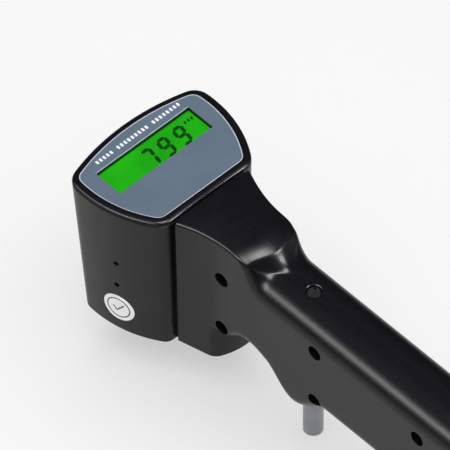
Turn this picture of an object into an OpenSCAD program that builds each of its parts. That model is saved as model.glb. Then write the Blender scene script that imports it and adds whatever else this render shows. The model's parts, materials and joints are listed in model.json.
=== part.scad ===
// Handheld indentation hardness tester: a head with a lit display, a neck and a
// straight grip, held on the work by the foot of its plunger guide and one leg.
// Millimetres.  X points to the user's right, Y from the grip to the head, Z up.
// Inside each module Y = 0 is the display window's front edge and Z = 0 is the
// plane of the two feet; place() moves that into the part's own frame.

/* [Heights] */
// Height of the label face above the feet
label_z = 88.8; // [84:0.1:110]
// Clear height under the head
head_clear = 18; // [15:0.5:20]
// Drop from the label face to the top of the grip
grip_drop = 7; // [5:0.5:9]
// Depth of the grip
grip_h = 47; // [45:0.5:60]

/* [Head] */
// Half the label's greatest width
label_half = 31.55; // [30.5:0.05:40]
// Radius of the label's sides
side_r = 50; // [45:1:80]
// Radius of the label's front edge
front_r = 98; // [80:1:200]
// Radius of the label's corners
corner_r = 4.5; // [3:0.1:6]
// Distance from the window's front edge to the label's front edge
label_front = 8.7; // [8:0.1:12]
// Distance from the window's front edge to the label's rear edge
label_rear = 33.6; // [32.5:0.1:42]
// Width of the rim beside the label
rim_w = 3.1; // [2.8:0.1:5]
// Width of the rim in front of the label
rim_front = 2.4; // [2:0.1:4]
// Width of the rim behind the label
rim_rear = 3.3; // [3:0.1:5]
// Height of the rim over the label
rim_up = 0.4; // [0.2:0.1:0.8]
// Rounding of the rim's outer edge
rim_round = 1.7; // [1:0.1:2]
// How far the sides draw in from top to bottom
side_draft = 2.9; // [0.5:0.1:3]
// How far the front draws back from top to bottom
front_draft = 6.6; // [3:0.1:7]

/* [Display] */
// Width of the display window
window_w = 48.5; // [40:0.5:50]
// Depth of the display window, front to rear
window_d = 13.5; // [11:0.5:15]
// Thickness of the label plate
label_t = 0.4; // [0.3:0.1:0.6]

/* [Neck and grip] */
// Distance from the window's front edge to the end of the grip
grip_reach = 192.5; // [188:0.5:240]
// Half the grip's width
grip_half = 13.5; // [13.2:0.1:18]
// Radius of the grip's shoulders
shoulder_r = 10; // [6:0.5:11]
// Radius of the grip's lower edges
belly_r = 7.5; // [5:0.5:8]
// Half the neck's width where it leaves the head
neck_half = 19.8; // [17:0.1:24]
// How far the neck's sides draw in from top to bottom where it leaves the head
foot_draft = 1.5; // [0.5:0.1:2]
// Rise of the neck's crown over its edges
crown = 1.4; // [0.8:0.1:3]
// Width of the groove between head and neck
groove_w = 1.9; // [1:0.1:3]
// Depth of the groove
groove_d = 1.8; // [1:0.1:2.2]
// Wall thickness of the casing
wall = 2.5; // [2:0.1:3.2]

/* [Casing screws] */
// Radius of the counterbores
counterbore_r = 3.25; // [3:0.05:3.4]
// Radius of the bosses around them
boss_r = 3.9; // [3.7:0.05:4]
// Radius of a casing screw's shank
screw_r = 1.5; // [1.2:0.05:1.6]

/* [Plunger] */
// How far the indenter's point stands out of the foot
point_out = 0.76; // [0.5:0.01:1]
// Radius of the plunger
plunger_r = 3; // [2.5:0.1:3.7]
// Distance of the plunger's axis behind the window's front edge
plunger_back = 14; // [13:0.5:16]
// Radius of the guide's nose
nose_r = 8; // [7:0.1:10]
// Radial running clearance of sliding parts
run = 0.05; // [0.02:0.01:0.08]

/* [Leg] */
// Radius of the leg
leg_r = 4; // [3.5:0.1:5]
// Distance of the leg's axis behind the window's front edge
leg_back = 95; // [94:0.5:97]
// Travel of the leg each way
leg_travel = 1.4; // [0.7:0.1:1.4]

/* [Battery] */
// Length of the battery
battery_l = 48.5; // [44:0.5:60]
// Width of the battery
battery_w = 17.4; // [15:0.1:17.5]
// Height of the battery
battery_h = 26.5; // [22:0.1:26.6]

/* [Hidden] */
$fn = 64;

// Colours
black_plastic = [0.09, 0.09, 0.10];
label_grey = [0.50, 0.55, 0.60];
lit_green = [0.20, 0.75, 0.15];
board_green = [0.05, 0.35, 0.20];
steel = [0.62, 0.63, 0.65];
alloy = [0.72, 0.73, 0.75];
brass = [0.80, 0.65, 0.30];

// Clearances: between moving pieces, and between pieces that only lie together
gap = 0.3;
lie = 0.05;

// Levels
grip_top = label_z - grip_drop;
grip_bottom = grip_top - grip_h;
rim_z = label_z + rim_up;
neck_edge_z = label_z + 0.6;
seat_t = 1.6;                       // casing left under the label
ceiling_z = label_z - label_t - seat_t;
upper_row_z = grip_top - 13.5;
lower_row_z = grip_bottom + 5;
rear_screw_z = grip_top - 15;

// Rounding of the neck's upper edges, the gap by which neck and grip differ in width,
// and the taper of the block's foot
edge_r = 0.9;
waist_step = 0.45;
foot_taper = 0.26;

// Lengths along Y: from the waist to the grip, of the fall from neck to grip and of
// the crown's fading, and how far ahead of the neck's end they start
waist_ease = 16;
fall_len = 11;
fade_len = 9;
fall_lead = 2;

// The finger's arch and the bulge round the leg: height, half length and offset
arch_rise = 4;
arch_half = 14;
bulge_drop = 10;
bulge_half = 17;
bulge_back = 1.5;

// The head's foot: height and inset of its chamfer, and the thickness of one slice
foot_rise = 1.5;
foot_inset = 1.2;
slice_t = 0.02;

// How far the block reaches up into the grip and the bridge into its neighbours
block_lap = 12;
bridge_lap = 0.6;

// Places along Y, as distances behind the window's front edge
widest_y = 3.8;
head_front = label_front + rim_front;
head_rear = label_rear + rim_rear;
neck_start = head_rear + groove_w;
neck_end = neck_start + 35.5;
waist_y = neck_start + 25.1;
block_rear = neck_start + 19.7;
block_r = 28;
arch_y = neck_start + 33.1;
front_screw_y = neck_start + 20;
leg_screw_row_y = leg_back + 14.4;
rear_screw_y = grip_reach - 27;
origin_y = (grip_reach - head_front) / 2;

module place() translate([0, origin_y, point_out]) children();

// A cylinder that lies along X from x0 to x1
module along_x(x0, x1, y, z, r) {
  translate([x0, y, z]) rotate([0, 90, 0]) cylinder(h = x1 - x0, r = r);
}

// A box given by its two corners
module block(low, high) translate(low) cube(high - low);

// ---------------------------------------------------------------- outlines

// An outline with an arched front, bowed sides, a straight rear and rounded corners
module outline(front, half, rear, front_arc, side_arc, corner) {
  offset(r = corner, $fn = 40) offset(delta = -corner) intersection() {
    translate([0, front - front_arc]) circle(front_arc, $fn = 200);
    translate([half - side_arc, -widest_y]) circle(side_arc, $fn = 120);
    translate([side_arc - half, -widest_y]) circle(side_arc, $fn = 120);
    translate([-half, -rear]) square([2 * half, rear + front]);
  }
}

// The label's outline, grown by g
module label_shape(g = 0)
  outline(label_front + g, label_half + g, label_rear + g, front_r + g, side_r + g, corner_r + g);

// The head's outline, drawn in by t
module head_shape(t = 0)
  outline(head_front - t, label_half + rim_w - t, head_rear - t,
          front_r + rim_front - t, side_r + rim_w - t, max(1, corner_r + rim_w - t));

// One level slice of the left half of the head
module head_slice(z, inset, back, centre) {
  translate([0, -back, z]) linear_extrude(slice_t) intersection() {
    head_shape(inset);
    translate([-60, -80]) square([60 + centre, 120]);
  }
}

// The left half of the head; t shrinks it for the cavity, or grows it where negative
module head_half(t, centre) {
  top = t > 0 ? ceiling_z : rim_z;
  low = head_clear + t;
  hull() {
    head_slice(top - slice_t, t > 0 ? t : rim_round, 0, centre);
    if (t <= 0) head_slice(rim_z - 0.3 * rim_round, 0.3 * rim_round + t, 0, centre);
    if (t <= 0) head_slice(rim_z - rim_round, t, 0, centre);
    head_slice(low + foot_rise, t + side_draft, front_draft - side_draft, centre);
    head_slice(low, t + side_draft + foot_inset, front_draft - side_draft, centre);
  }
}

function clip01(u) = min(1, max(0, u));
function smooth(u) = let (c = clip01(u)) c * c * (3 - 2 * c);
function bump(u) = abs(u) >= 1 ? 0 : pow(1 - u * u, 2);

// Half width of neck and grip along the upper edge, at the distance d
waist = grip_half + waist_step;
function upper_half(d) = d < waist_y
  ? waist + (neck_half - waist) * pow((waist_y - d) / (waist_y - neck_start), 2)
  : waist + (grip_half - waist) * smooth((d - waist_y) / waist_ease);

// Half width along the foot of the block: a straight line instead of a waist
function foot_half(d) = d < waist_y
  ? max(neck_half - foot_draft - foot_taper * (d - neck_start), waist)
  : upper_half(d);

// Half width at the distance d and height z
function half_at(d, z) = let (lean = clip01((neck_edge_z - z) / (neck_edge_z - head_clear)))
  upper_half(d) + lean * (foot_half(d) - upper_half(d));

// Height of the upper edge, of the underside and of the crown, and the two radii
function edge_at(d) = neck_edge_z + (grip_top - neck_edge_z) * smooth((d - neck_end + fall_lead) / fall_len);
function under_at(d) = grip_bottom + arch_rise * bump((d - arch_y) / arch_half)
  - bulge_drop * bump((d - leg_back - bulge_back) / bulge_half);
function crown_at(d) = crown * (1 - smooth((d - neck_end + fall_lead) / fade_len));
function upper_r_at(d) = edge_r + (shoulder_r - edge_r) * smooth((d - neck_end + fall_lead / 2) / fade_len);

// The left half of a cross-section, from the underside round to the crown
function section_half(d, t, centre) = let (
    ru = max(0.3, upper_r_at(d) - t),
    rl = max(0.3, belly_r - t),
    top = edge_at(d) - t,
    low = under_at(d) + t,
    h = half_at(d, top) - t,
    g = half_at(d, low + rl) - t
  ) concat(
    [[centre, low]],
    [for (a = [0:15:90]) [-(g - rl) - rl * sin(a), low + rl - rl * cos(a)]],
    [for (a = [0:15:90]) [-(h - ru) - ru * cos(a), top - ru + ru * sin(a)]],
    [for (k = [1:3]) let (x = -(h - ru) * (1 - k / 4)) [x, top + crown_at(d) * (1 - pow(x / (h - ru), 2))]],
    [[centre, top + crown_at(d)]]
  );

// A closed solid through cross-sections that all have the same number of points
module loft(sections) {
  n = len(sections[0]);
  m = len(sections);
  points = [for (s = sections) for (p = s) p];
  sides = [for (j = [0:m - 2]) for (i = [0:n - 1]) let (k = (i + 1) % n)
    [j * n + i, j * n + k, (j + 1) * n + k, (j + 1) * n + i]];
  polyhedron(points, concat(
    [[for (i = [n - 1:-1:0]) i]],
    sides,
    [[for (i = [0:n - 1]) (m - 1) * n + i]]
  ), convexity = 8);
}

// The left half of neck and grip; t shrinks it for the cavity
module grip_half_solid(t, centre) {
  first = neck_start + t;
  last = grip_reach - t;
  stops = concat(
    [for (k = [0:6]) first + (neck_end - 4 - first) * k / 6],
    [for (k = [0:5]) neck_end - 2 + 2.4 * k],
    [for (k = [0:11]) neck_end + 14 + (leg_back + 19 - neck_end - 14) * k / 11],
    [last]
  );
  loft([for (d = stops) [for (p = section_half(d, t, centre)) [p[0], -d, p[1]]]]);
}

// The left half of the deep block behind the head
module block_half(t, centre) {
  first = neck_start + t;
  low = head_clear + t;
  high = grip_bottom + block_lap;
  intersection() {
    loft([for (k = [0:8]) let (d = first + (block_rear - first) * k / 8)
      [[centre, -d, low], [t - half_at(d, low), -d, low], [t - half_at(d, high), -d, high], [centre, -d, high]]]);
    translate([0, block_r - block_rear, 0]) cylinder(h = label_z, r = block_r - t, $fn = 96);
  }
}

// The bridge at the bottom of the groove that joins head and neck
module bridge_half(t, centre) {
  half = neck_half - groove_d - t;
  block([-half, -neck_start - t - bridge_lap, head_clear + groove_d + t],
        [centre, -head_rear + t + bridge_lap, neck_edge_z - groove_d - t]);
}

module casing_half(t, centre) {
  head_half(t, centre);
  grip_half_solid(t, centre);
  block_half(t, centre);
  bridge_half(t, centre);
}

// Places of the five casing screws as [distance back, height]
casing_screws = [
  [front_screw_y, upper_row_z],
  [front_screw_y, lower_row_z],
  [leg_screw_row_y, upper_row_z],
  [leg_screw_row_y, lower_row_z],
  [rear_screw_y, rear_screw_z]
];
seat_x = 5.5;                       // depth of the screws' seats from the seam
screw_end = grip_half - 5.5;

// Half widths of the battery opening and of its door
door_open = 9.6;
door_half = door_open - gap;
door_t = 1.4;
door_start = leg_screw_row_y + boss_r + 4.5;
rail_z = grip_bottom + 2;

// The left casing half with bosses, window, leg hole and door opening; its screw
// bores run from the seam to bore_x
module casing(bore_r, bore_x) {
  difference() {
    casing_half(0, 0);
    difference() {
      casing_half(wall, 1);
      for (s = casing_screws) along_x(-neck_half, 0, -s[0], s[1], boss_r);
      along_z(-leg_back, grip_top - wall - 3, grip_top, leg_head_r + 2.2);
    }
    for (s = casing_screws) along_x(-bore_x, 1, -s[0], s[1], bore_r);
    translate([0, 0, label_z - label_t]) linear_extrude(2) label_shape(lie);
    block([-window_w / 2, -window_d, ceiling_z - 1], [1, 0, label_z]);
    along_z(-plunger_back, head_clear - 1, head_clear + wall + 1, nose_r + gap);
    along_z(-leg_back, 0, grip_bottom + 6, leg_r + gap);
    along_z(-leg_back, grip_top - wall - 5, grip_top + 3, leg_head_r + 0.45);
    block([-door_open, -grip_reach - 1, grip_bottom - 1], [1, -door_start, grip_bottom + 5]);
    block([-door_open - 1, -grip_reach - 1, rail_z - gap], [0, -door_start, rail_z + 0.6 + gap]);
  }
}

// A vertical cylinder on the centre line
module along_z(y, z0, z1, r) translate([0, y, z0]) cylinder(h = z1 - z0, r = r);

// ---------------------------------------------------------------- casing

// Distance of the head's side from the centre at the distance d back and height z
function side_at(d, z) = let (
    lean = clip01((rim_z - z) / (rim_z - head_clear)),
    back = d - widest_y - lean * (front_draft - side_draft)
  ) label_half - side_r + sqrt(pow(side_r + rim_w - lean * side_draft, 2) - back * back);

trimmer_y = 18.7;
zero_z = label_z - 31;
span_z = label_z - 44;
sticker_y = 19.2;
sticker_z = label_z - 57.5;
button_y = 14;
button_z = label_z - 26;
button_r = 4.5;

module left_shell() color(black_plastic) place() {
  difference() {
    casing(screw_r + 0.1, neck_half);
    for (s = casing_screws) along_x(-neck_half, -seat_x, -s[0], s[1], counterbore_r);
    for (z = [zero_z, span_z]) along_x(-label_half - rim_w, -label_half + 8, -trimmer_y, z, 1.1);
  }
}

module right_shell() color(black_plastic) place() {
  difference() {
    mirror([1, 0, 0]) casing(screw_r - 0.1, screw_end + 1);
    along_x(label_half - 8, label_half + rim_w + 1, -button_y, button_z, button_r + gap);
  }
}

module shell_screws() color(steel) place() {
  for (s = casing_screws) difference() {
    union() {
      along_x(-seat_x, screw_end, -s[0], s[1], screw_r - 0.1 - lie);
      along_x(-seat_x - 2, -seat_x, -s[0], s[1], 2.75);
    }
    block([-seat_x - 3, -s[0] - 1.8, s[1] - 0.3], [-seat_x - 1, -s[0] + 1.8, s[1] + 0.3]);
    block([-seat_x - 3, -s[0] - 0.3, s[1] - 1.8], [-seat_x - 1, -s[0] + 0.3, s[1] + 1.8]);
  }
}

module label_plate() color(label_grey) place() {
  difference() {
    translate([0, 0, label_z - label_t]) linear_extrude(label_t) label_shape(0);
    block([-window_w / 2, -window_d, label_z - 1], [window_w / 2, 0, label_z + 1]);
  }
}

// The sticker bends with the drafted, bowed side of the head
sticker_t = 0.15;
sticker_r = 7;
module round_sticker() color("white") place() {
  turn = asin((sticker_y - widest_y) / (side_r + rim_w));
  tilt = atan(side_draft / (rim_z - head_clear));
  difference() {
    intersection() {
      head_half(-sticker_t, 0);
      translate([-side_at(sticker_y, sticker_z), -sticker_y, sticker_z])
        rotate([0, 0, turn]) rotate([0, -90 - tilt, 0])
          translate([0, 0, -3]) cylinder(h = 6, r = sticker_r);
    }
    head_half(0, 1);
  }
}

// ---------------------------------------------------------------- display

carrier_half = 28;
carrier_front = 3;
carrier_rear = window_d + 4;
glass_t = 1.8;
light_t = 3;
carrier_h = 6.2;
glass_z = ceiling_z - lie - glass_t;
light_z = glass_z - lie - light_t;
carrier_z = ceiling_z - lie - carrier_h;
board_t = 1.6;
board_z = carrier_z - lie - board_t;
carrier_screws = [for (x = [-1, 1]) for (y = [carrier_front - 2, -carrier_rear + 2])
  [x * (carrier_half - 1.4), y]];

module display_carrier() color(black_plastic) place() {
  difference() {
    block([-carrier_half, -carrier_rear, carrier_z], [carrier_half, carrier_front, ceiling_z - lie]);
    block([-window_w / 2 - 1.5, -window_d - 1.5, carrier_z - 1],
          [window_w / 2 + 1.5, 1, ceiling_z]);
    for (p = carrier_screws) translate([p[0], p[1], carrier_z - 1]) cylinder(h = 4, r = 0.8);
  }
}

module lcd_glass() color(lit_green) place()
  block([-window_w / 2 - 1.4, -window_d - 1.4, glass_z],
        [window_w / 2 + 1.4, 0.9, glass_z + glass_t]);

// The display's digits: size, stroke, pitch, slant, gap between bars and first place
digit_w = 5.3;
digit_h = 10;
digit_stroke = 1.5;
digit_pitch = 8.25;
digit_slant = 0.17;
bar_gap = 0.1;
digits_x = -6;
digits_y = 1 - window_d;

// The ends of one digit's seven bars, as [x, y] from the digit's lower left corner
digit_x = [digit_stroke / 2, digit_w - digit_stroke / 2];
digit_y = [digit_stroke / 2, digit_h / 2, digit_h - digit_stroke / 2];
bars = [
  [[digit_x[0], digit_y[2]], [digit_x[1], digit_y[2]]],
  [[digit_x[1], digit_y[1]], [digit_x[1], digit_y[2]]],
  [[digit_x[1], digit_y[0]], [digit_x[1], digit_y[1]]],
  [[digit_x[0], digit_y[0]], [digit_x[1], digit_y[0]]],
  [[digit_x[0], digit_y[0]], [digit_x[0], digit_y[1]]],
  [[digit_x[0], digit_y[1]], [digit_x[0], digit_y[2]]],
  [[digit_x[0], digit_y[1]], [digit_x[1], digit_y[1]]]
];
seven = [0, 1, 2];
nine = [0, 1, 2, 3, 5, 6];

// A bar with pointed ends between two places; it leans with the digits
module leaning_bar(ends, stroke) {
  along = (ends[1] - ends[0]) / norm(ends[1] - ends[0]);
  across = [-along[1], along[0]] * stroke / 2;
  from = ends[0] + along * bar_gap;
  to = ends[1] - along * bar_gap;
  point = along * stroke / 2;
  linear_extrude(lie) polygon([
    for (p = [from, from + point - across, to - point - across, to, to - point + across, from + point + across])
      [p[0] + digit_slant * p[1], p[1]]
  ]);
}

// Three short upright bars of a level mark beside the digits: place, length and stroke
level_mark_x = [17.6, 19.3, 21];
level_mark_y = [8, 10];
level_stroke = 0.9;

module lcd_segments() color([0, 0.3, 0]) place() {
  for (k = [0:2])
    for (i = k == 0 ? seven : nine)
      translate([digits_x + digit_pitch * k, digits_y, glass_z + glass_t])
        leaning_bar(bars[i], digit_stroke);
  for (x = level_mark_x)
    translate([0, digits_y, glass_z + glass_t])
      leaning_bar([[x, level_mark_y[0]], [x, level_mark_y[1]]], level_stroke);
}

module backlight_panel() color("palegreen") place()
  block([-window_w / 2 - 1.2, -window_d - 1.2, light_z],
        [window_w / 2 + 1.2, 0.7, light_z + light_t]);

module contact_strips() color("gray") place()
  for (y = [0.95, -window_d - 1.45]) let (x = window_w / 2 - 2)
    block([-x, y - (y > 0 ? 0.2 : 0), board_z + board_t + lie],
          [x, y + (y > 0 ? 0 : 0.2), light_z + light_t]);

module main_board() color(board_green) place() {
  difference() {
    block([-25, -25, board_z], [25, carrier_front - 0.6, board_z + board_t]);
    for (p = carrier_screws) translate([p[0], p[1], board_z - 1]) cylinder(h = 4, r = 0.9);
  }
  for (s = [-1, 1])
    difference() {
      block([min(s * 25, s * carrier_half), -carrier_rear, board_z],
            [max(s * 25, s * carrier_half), carrier_front - 0.6, board_z + board_t]);
      for (p = carrier_screws) translate([p[0], p[1], board_z - 1]) cylinder(h = 4, r = 0.9);
    }
}

module board_chips() color([0.12, 0.12, 0.12]) place() {
  chips = [[-10, -9, 10, 10, 1.4], [6, -7, 7, 5, 1.4], [15, -12, 5, 6, 1.6], [-21, -8, 6, 4, 1.2]];
  for (c = chips)
    block([c[0], c[1], board_z - lie - c[4]], [c[0] + c[2], c[1] + c[3], board_z - lie]);
}

module board_screws() color(steel) place()
  for (p = carrier_screws) translate([p[0], p[1], 0]) {
    translate([0, 0, board_z - 1]) cylinder(h = 1, r = 1.5);
    translate([0, 0, board_z]) cylinder(h = board_t + 2.6, r = 0.75);
  }

// ---------------------------------------------------------------- trimmers and switch

trimmer_l = 8;
trimmer_half = 4.7;
trimmer_x = side_at(trimmer_y + trimmer_half, span_z - 3) - wall - gap;
trimmer_board_x = trimmer_x - trimmer_l;

module trimmer_board() color(board_green) place()
  block([-trimmer_board_x, -trimmer_y - 6.5, span_z - 6],
        [-trimmer_board_x + board_t, -trimmer_y + 6.5, board_z - 2]);

module trimmer(z) difference() {
  block([-trimmer_x, -trimmer_y - trimmer_half, z - 3],
        [-trimmer_board_x - lie, -trimmer_y + trimmer_half, z + 3]);
  along_x(-trimmer_x - 1, -trimmer_x + 3, -trimmer_y, z, 1 + run);
}

module trimmer_screw(z) difference() {
  along_x(-trimmer_x - 1, -trimmer_x + 2.5, -trimmer_y, z, 1);
  block([-trimmer_x - 2, -trimmer_y - 2, z - 0.2], [-trimmer_x - 0.4, -trimmer_y + 2, z + 0.2]);
}

module zero_trimmer() color("royalblue") place() trimmer(zero_z);
module span_trimmer() color("royalblue") place() trimmer(span_z);
module zero_screw() color(brass) place() trimmer_screw(zero_z);
module span_screw() color(brass) place() trimmer_screw(span_z);

button_travel = 0.6;
button_out = 0.8;
button_x = side_at(button_y, button_z) + button_out;
flange_r = button_r + 1;
flange_x = side_at(button_y + flange_r, button_z - flange_r) - wall - gap - 1;
switch_x = flange_x - button_travel - 1.5;
switch_board_x = switch_x - 4;

module switch_board() color(board_green) place()
  block([switch_board_x - board_t, -button_y - 6, button_z - 8],
        [switch_board_x, -button_y + 6, board_z - 2]);

module power_switch() color([0.15, 0.15, 0.15]) place()
  block([switch_board_x + lie, -button_y - 3, button_z - 3],
        [switch_x, -button_y + 3, button_z + 3]);

// The button's shaft reaches the switch; its flange stays behind the wall
module power_button() color([0.16, 0.16, 0.17]) place() {
  along_x(switch_x + button_travel + 0.1, flange_x, -button_y, button_z, 1.5);
  along_x(flange_x, flange_x + 1, -button_y, button_z, flange_r);
  along_x(flange_x + 1, button_x, -button_y, button_z, button_r);
}

// ---------------------------------------------------------------- plunger

frame_half = 11;
frame_front_y = 2;
frame_rear_y = 24;
bar_z0 = lower_row_z + boss_r + 0.8;
bar_h = 11;
bar_z1 = bar_z0 + bar_h;
bar_half = 5;
frame_z0 = head_clear + wall + 2.2;
frame_z1 = bar_z1 - 3;
guide_flange_r = nose_r + 2;
guide_thread_r = plunger_r + 2.5;
guide_top = frame_z0 + 6.3;
collar_h = 2;
collar_z = guide_top + 0.1;
chamber_r = plunger_r + 3;
load_thread_r = plunger_r + 3.5;
load_screw_z0 = frame_z1 - 9;
load_screw_z1 = frame_z1 + 4;
nut_r = plunger_r + 6.5;
plunger_top = load_screw_z1 + 1.5;
tip_r = 0.1;
point_r = 1.2;
point_l = 9;
point_cone = point_out + 2.2;
seat_z = 4;                         // lower end of the plunger inside the nose

// The rigid frame: spindle housing, bar, lever ears and the leg's holder
pivot_y = 1;
pivot_z = plunger_top + 1;
pivot_arm = plunger_back - pivot_y;
lever_ratio = 2.5;
sensor_y = pivot_y + pivot_arm * lever_ratio;
pin_r = 1.5;
ear_x0 = 5.1;
ear_x1 = 8;
holder_half = 9;
holder_z0 = grip_bottom + 2.5;
holder_z1 = bar_z1;
lug_z0 = grip_top - wall - 10.5;
lug_z1 = lug_z0 + 4;
bush_r = leg_r + 2.5;
leg_head_r = 2.6;
leg_thread_r = 2;
leg_top = holder_z1 + 7;

module main_frame() color(alloy) place() {
  difference() {
    union() {
      block([-frame_half, -frame_rear_y, frame_z0], [frame_half, frame_front_y, frame_z1]);
      block([-bar_half, -leg_back, bar_z0], [bar_half, -frame_rear_y, bar_z1]);
      block([-holder_half, -leg_back - holder_half, holder_z0],
            [holder_half, -leg_back + holder_half, holder_z1]);
      block([-6, -leg_back - holder_half, holder_z1], [6, -leg_back - leg_r - 1.5, lug_z1]);
      block([-6, -leg_back - leg_r - 1.5, lug_z0], [6, -leg_back + 5, lug_z1]);
      for (s = [-1, 1]) {
        x0 = s > 0 ? ear_x0 : -ear_x1;
        block([x0, -pivot_y - 3, frame_z1], [x0 + ear_x1 - ear_x0, -pivot_y + 3, pivot_z]);
        along_x(x0, x0 + ear_x1 - ear_x0, -pivot_y, pivot_z, 3);
      }
    }
    along_z(-plunger_back, frame_z0 - 1, guide_top + 0.5, guide_thread_r + lie);
    along_z(-plunger_back, guide_top, load_screw_z0, chamber_r);
    along_z(-plunger_back, load_screw_z0, frame_z1 + 1, load_thread_r + lie);
    along_x(-ear_x1 - 1, ear_x1 + 1, -pivot_y, pivot_z, pin_r);
    along_z(-leg_back, holder_z0 - 1, holder_z1 + 1, bush_r);
    along_z(-leg_back, lug_z0 - 1, lug_z1 + 1, leg_thread_r + run);
    along_x(-holder_half - 1, 0, -leg_back, key_z, key_r);
    for (y = bracket_screw_y) along_z(-y, bar_z1 - 6, bar_z1 + 1, 1.25);
  }
}

module plunger_guide() color(steel) place() {
  difference() {
    union() {
      translate([0, -plunger_back, 0]) cylinder(h = 5, r1 = nose_r - 3, r2 = nose_r);
      along_z(-plunger_back, 5, frame_z0 - 2, nose_r);
      along_z(-plunger_back, frame_z0 - 2, frame_z0, guide_flange_r);
      along_z(-plunger_back, frame_z0, guide_top, guide_thread_r);
    }
    along_z(-plunger_back, -1, seat_z, point_r + run);
    along_z(-plunger_back, seat_z - 1, guide_top + 1, plunger_r + run);
  }
}

module plunger() color(steel) place() {
  difference() {
    union() {
      along_z(-plunger_back, seat_z, plunger_top - 1, plunger_r);
      along_z(-plunger_back, collar_z, collar_z + collar_h, chamber_r - 0.4);
      translate([0, -plunger_back, plunger_top - 1]) cylinder(h = 1, r1 = plunger_r, r2 = 0.8);
    }
    along_z(-plunger_back, seat_z - 1, point_l, point_r);
  }
}

module indenter_point() color([0.45, 0.46, 0.48]) place()
  translate([0, -plunger_back, -point_out]) {
    cylinder(h = point_cone, r1 = tip_r, r2 = tip_r + point_cone * tan(13));
    translate([0, 0, point_cone]) cylinder(h = point_l - point_cone + point_out, r = point_r);
  }

// A compression spring with closed ends
coil_wire = 1.1;
coil_r = plunger_r + 1.6;
coil_z0 = collar_z + collar_h + coil_wire / 2 + lie;
coil_z1 = load_screw_z0 - coil_wire / 2 - lie;
coil_turns = 5;
function coil_lift(u) = clip01((u * (coil_turns + 2) - 1) / coil_turns);
module load_spring() color(steel) place() {
  rings = 14 * (coil_turns + 2);
  loft([for (k = [0:rings]) let (u = k / rings, a = 360 * (coil_turns + 2) * u,
      z = coil_z0 + (coil_z1 - coil_z0 - 2 * coil_wire * 1.02) * coil_lift(u)
        + coil_wire * 1.02 * (min(1, u * (coil_turns + 2)) + max(0, u * (coil_turns + 2) - coil_turns - 1)))
    [for (b = [315:-45:0]) let (r = coil_r + coil_wire / 2 * cos(b))
      [r * cos(a), r * sin(a) - plunger_back, z + coil_wire / 2 * sin(b)]]]);
}

module load_screw() color(brass) place() {
  difference() {
    along_z(-plunger_back, load_screw_z0, load_screw_z1, load_thread_r);
    along_z(-plunger_back, load_screw_z0 - 1, load_screw_z1 + 1, plunger_r + run);
    block([-load_thread_r - 1, -plunger_back - 0.8, load_screw_z1 - 1.5],
          [load_thread_r + 1, -plunger_back + 0.8, load_screw_z1 + 1]);
  }
}

module lock_nut() color(steel) place() {
  difference() {
    translate([0, -plunger_back, frame_z1]) cylinder(h = 2.4, r = nut_r, $fn = 6);
    along_z(-plunger_back, frame_z1 - 1, frame_z1 + 3, load_thread_r + lie);
  }
}

// ---------------------------------------------------------------- lever and sensor

lever_half = 3.2;
lever_z0 = plunger_top + 0.1;
lever_t = 2.6;
sensor_r = 5;
core_r = 1.5;
core_z = lever_z0 + lever_t + 0.1;
sensor_z0 = core_z + 3.2;
sensor_z1 = ceiling_z - 4.5;
bracket_y = sensor_y + sensor_r + gap;
bracket_screw_y = [bracket_y + 5.5, bracket_y + 10.5];

module lever() color(steel) place() {
  difference() {
    union() {
      block([-lever_half, -sensor_y - 2, lever_z0], [lever_half, -pivot_y, lever_z0 + lever_t]);
      along_x(-ear_x0 + 0.3, ear_x0 - 0.3, -pivot_y, pivot_z, 3);
    }
    along_x(-ear_x0, ear_x0, -pivot_y, pivot_z, pin_r + run);
  }
}

module lever_pin() color(steel) place()
  along_x(-ear_x1 - 0.2, ear_x1 + 0.2, -pivot_y, pivot_z, pin_r);

module sensor_bracket() color(alloy) place() {
  clamp_z0 = sensor_z0 + 4;
  difference() {
    union() {
      block([-6, -bracket_y - 13.5, bar_z1], [6, -bracket_y, bar_z1 + 2]);
      block([-6, -bracket_y - 2.5, bar_z1], [6, -bracket_y, clamp_z0 + 8]);
      block([-7, -bracket_y, clamp_z0], [7, -sensor_y + sensor_r + 2, clamp_z0 + 8]);
    }
    along_z(-sensor_y, clamp_z0 - 1, clamp_z0 + 9, sensor_r);
    for (y = bracket_screw_y) along_z(-y, bar_z1 - 1, bar_z1 + 3, 1.35);
  }
}

module bracket_screws() color(steel) place()
  for (y = bracket_screw_y) {
    along_z(-y, bar_z1 - 5, bar_z1 + 2, 1.2);
    along_z(-y, bar_z1 + 2, bar_z1 + 3.6, 2.3);
  }

module sensor_body() color(steel) place() {
  difference() {
    along_z(-sensor_y, sensor_z0, sensor_z1, sensor_r);
    along_z(-sensor_y, sensor_z0 - 1, sensor_z1 - 1.5, core_r + run);
  }
}

module sensor_core() color(alloy) place() {
  translate([0, -sensor_y, core_z]) cylinder(h = 1, r1 = 0.6, r2 = core_r);
  along_z(-sensor_y, core_z + 1, sensor_z1 - 5, core_r);
}

// ---------------------------------------------------------------- leg

key_z = holder_z0 + 12;
leg_out = point_out;                // the leg is set level with the indenter's point
leg_chamfer = 0.6;
key_r = 1;
key_depth = 1.2;

module leg_bush() color(brass) place() {
  difference() {
    along_z(-leg_back, holder_z0 - 5, holder_z1, bush_r);
    along_z(-leg_back, holder_z0 - 6, holder_z1 + 1, leg_r + run);
    along_x(-holder_half - 1, 0, -leg_back, key_z, key_r);
  }
}

module leg() color(steel) place() {
  difference() {
    union() {
      translate([0, -leg_back, -leg_out])
        cylinder(h = leg_chamfer, r1 = leg_r - leg_chamfer, r2 = leg_r);
      along_z(-leg_back, leg_chamfer - leg_out, leg_top, leg_r);
    }
    along_z(-leg_back, holder_z1 - 12, leg_top + 1, leg_thread_r + run);
    block([-leg_r - 1, -leg_back - key_r - run, key_z - leg_travel - key_r - gap],
          [-leg_r + key_depth, -leg_back + key_r + run, key_z + leg_travel + key_r + gap]);
  }
}

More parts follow.
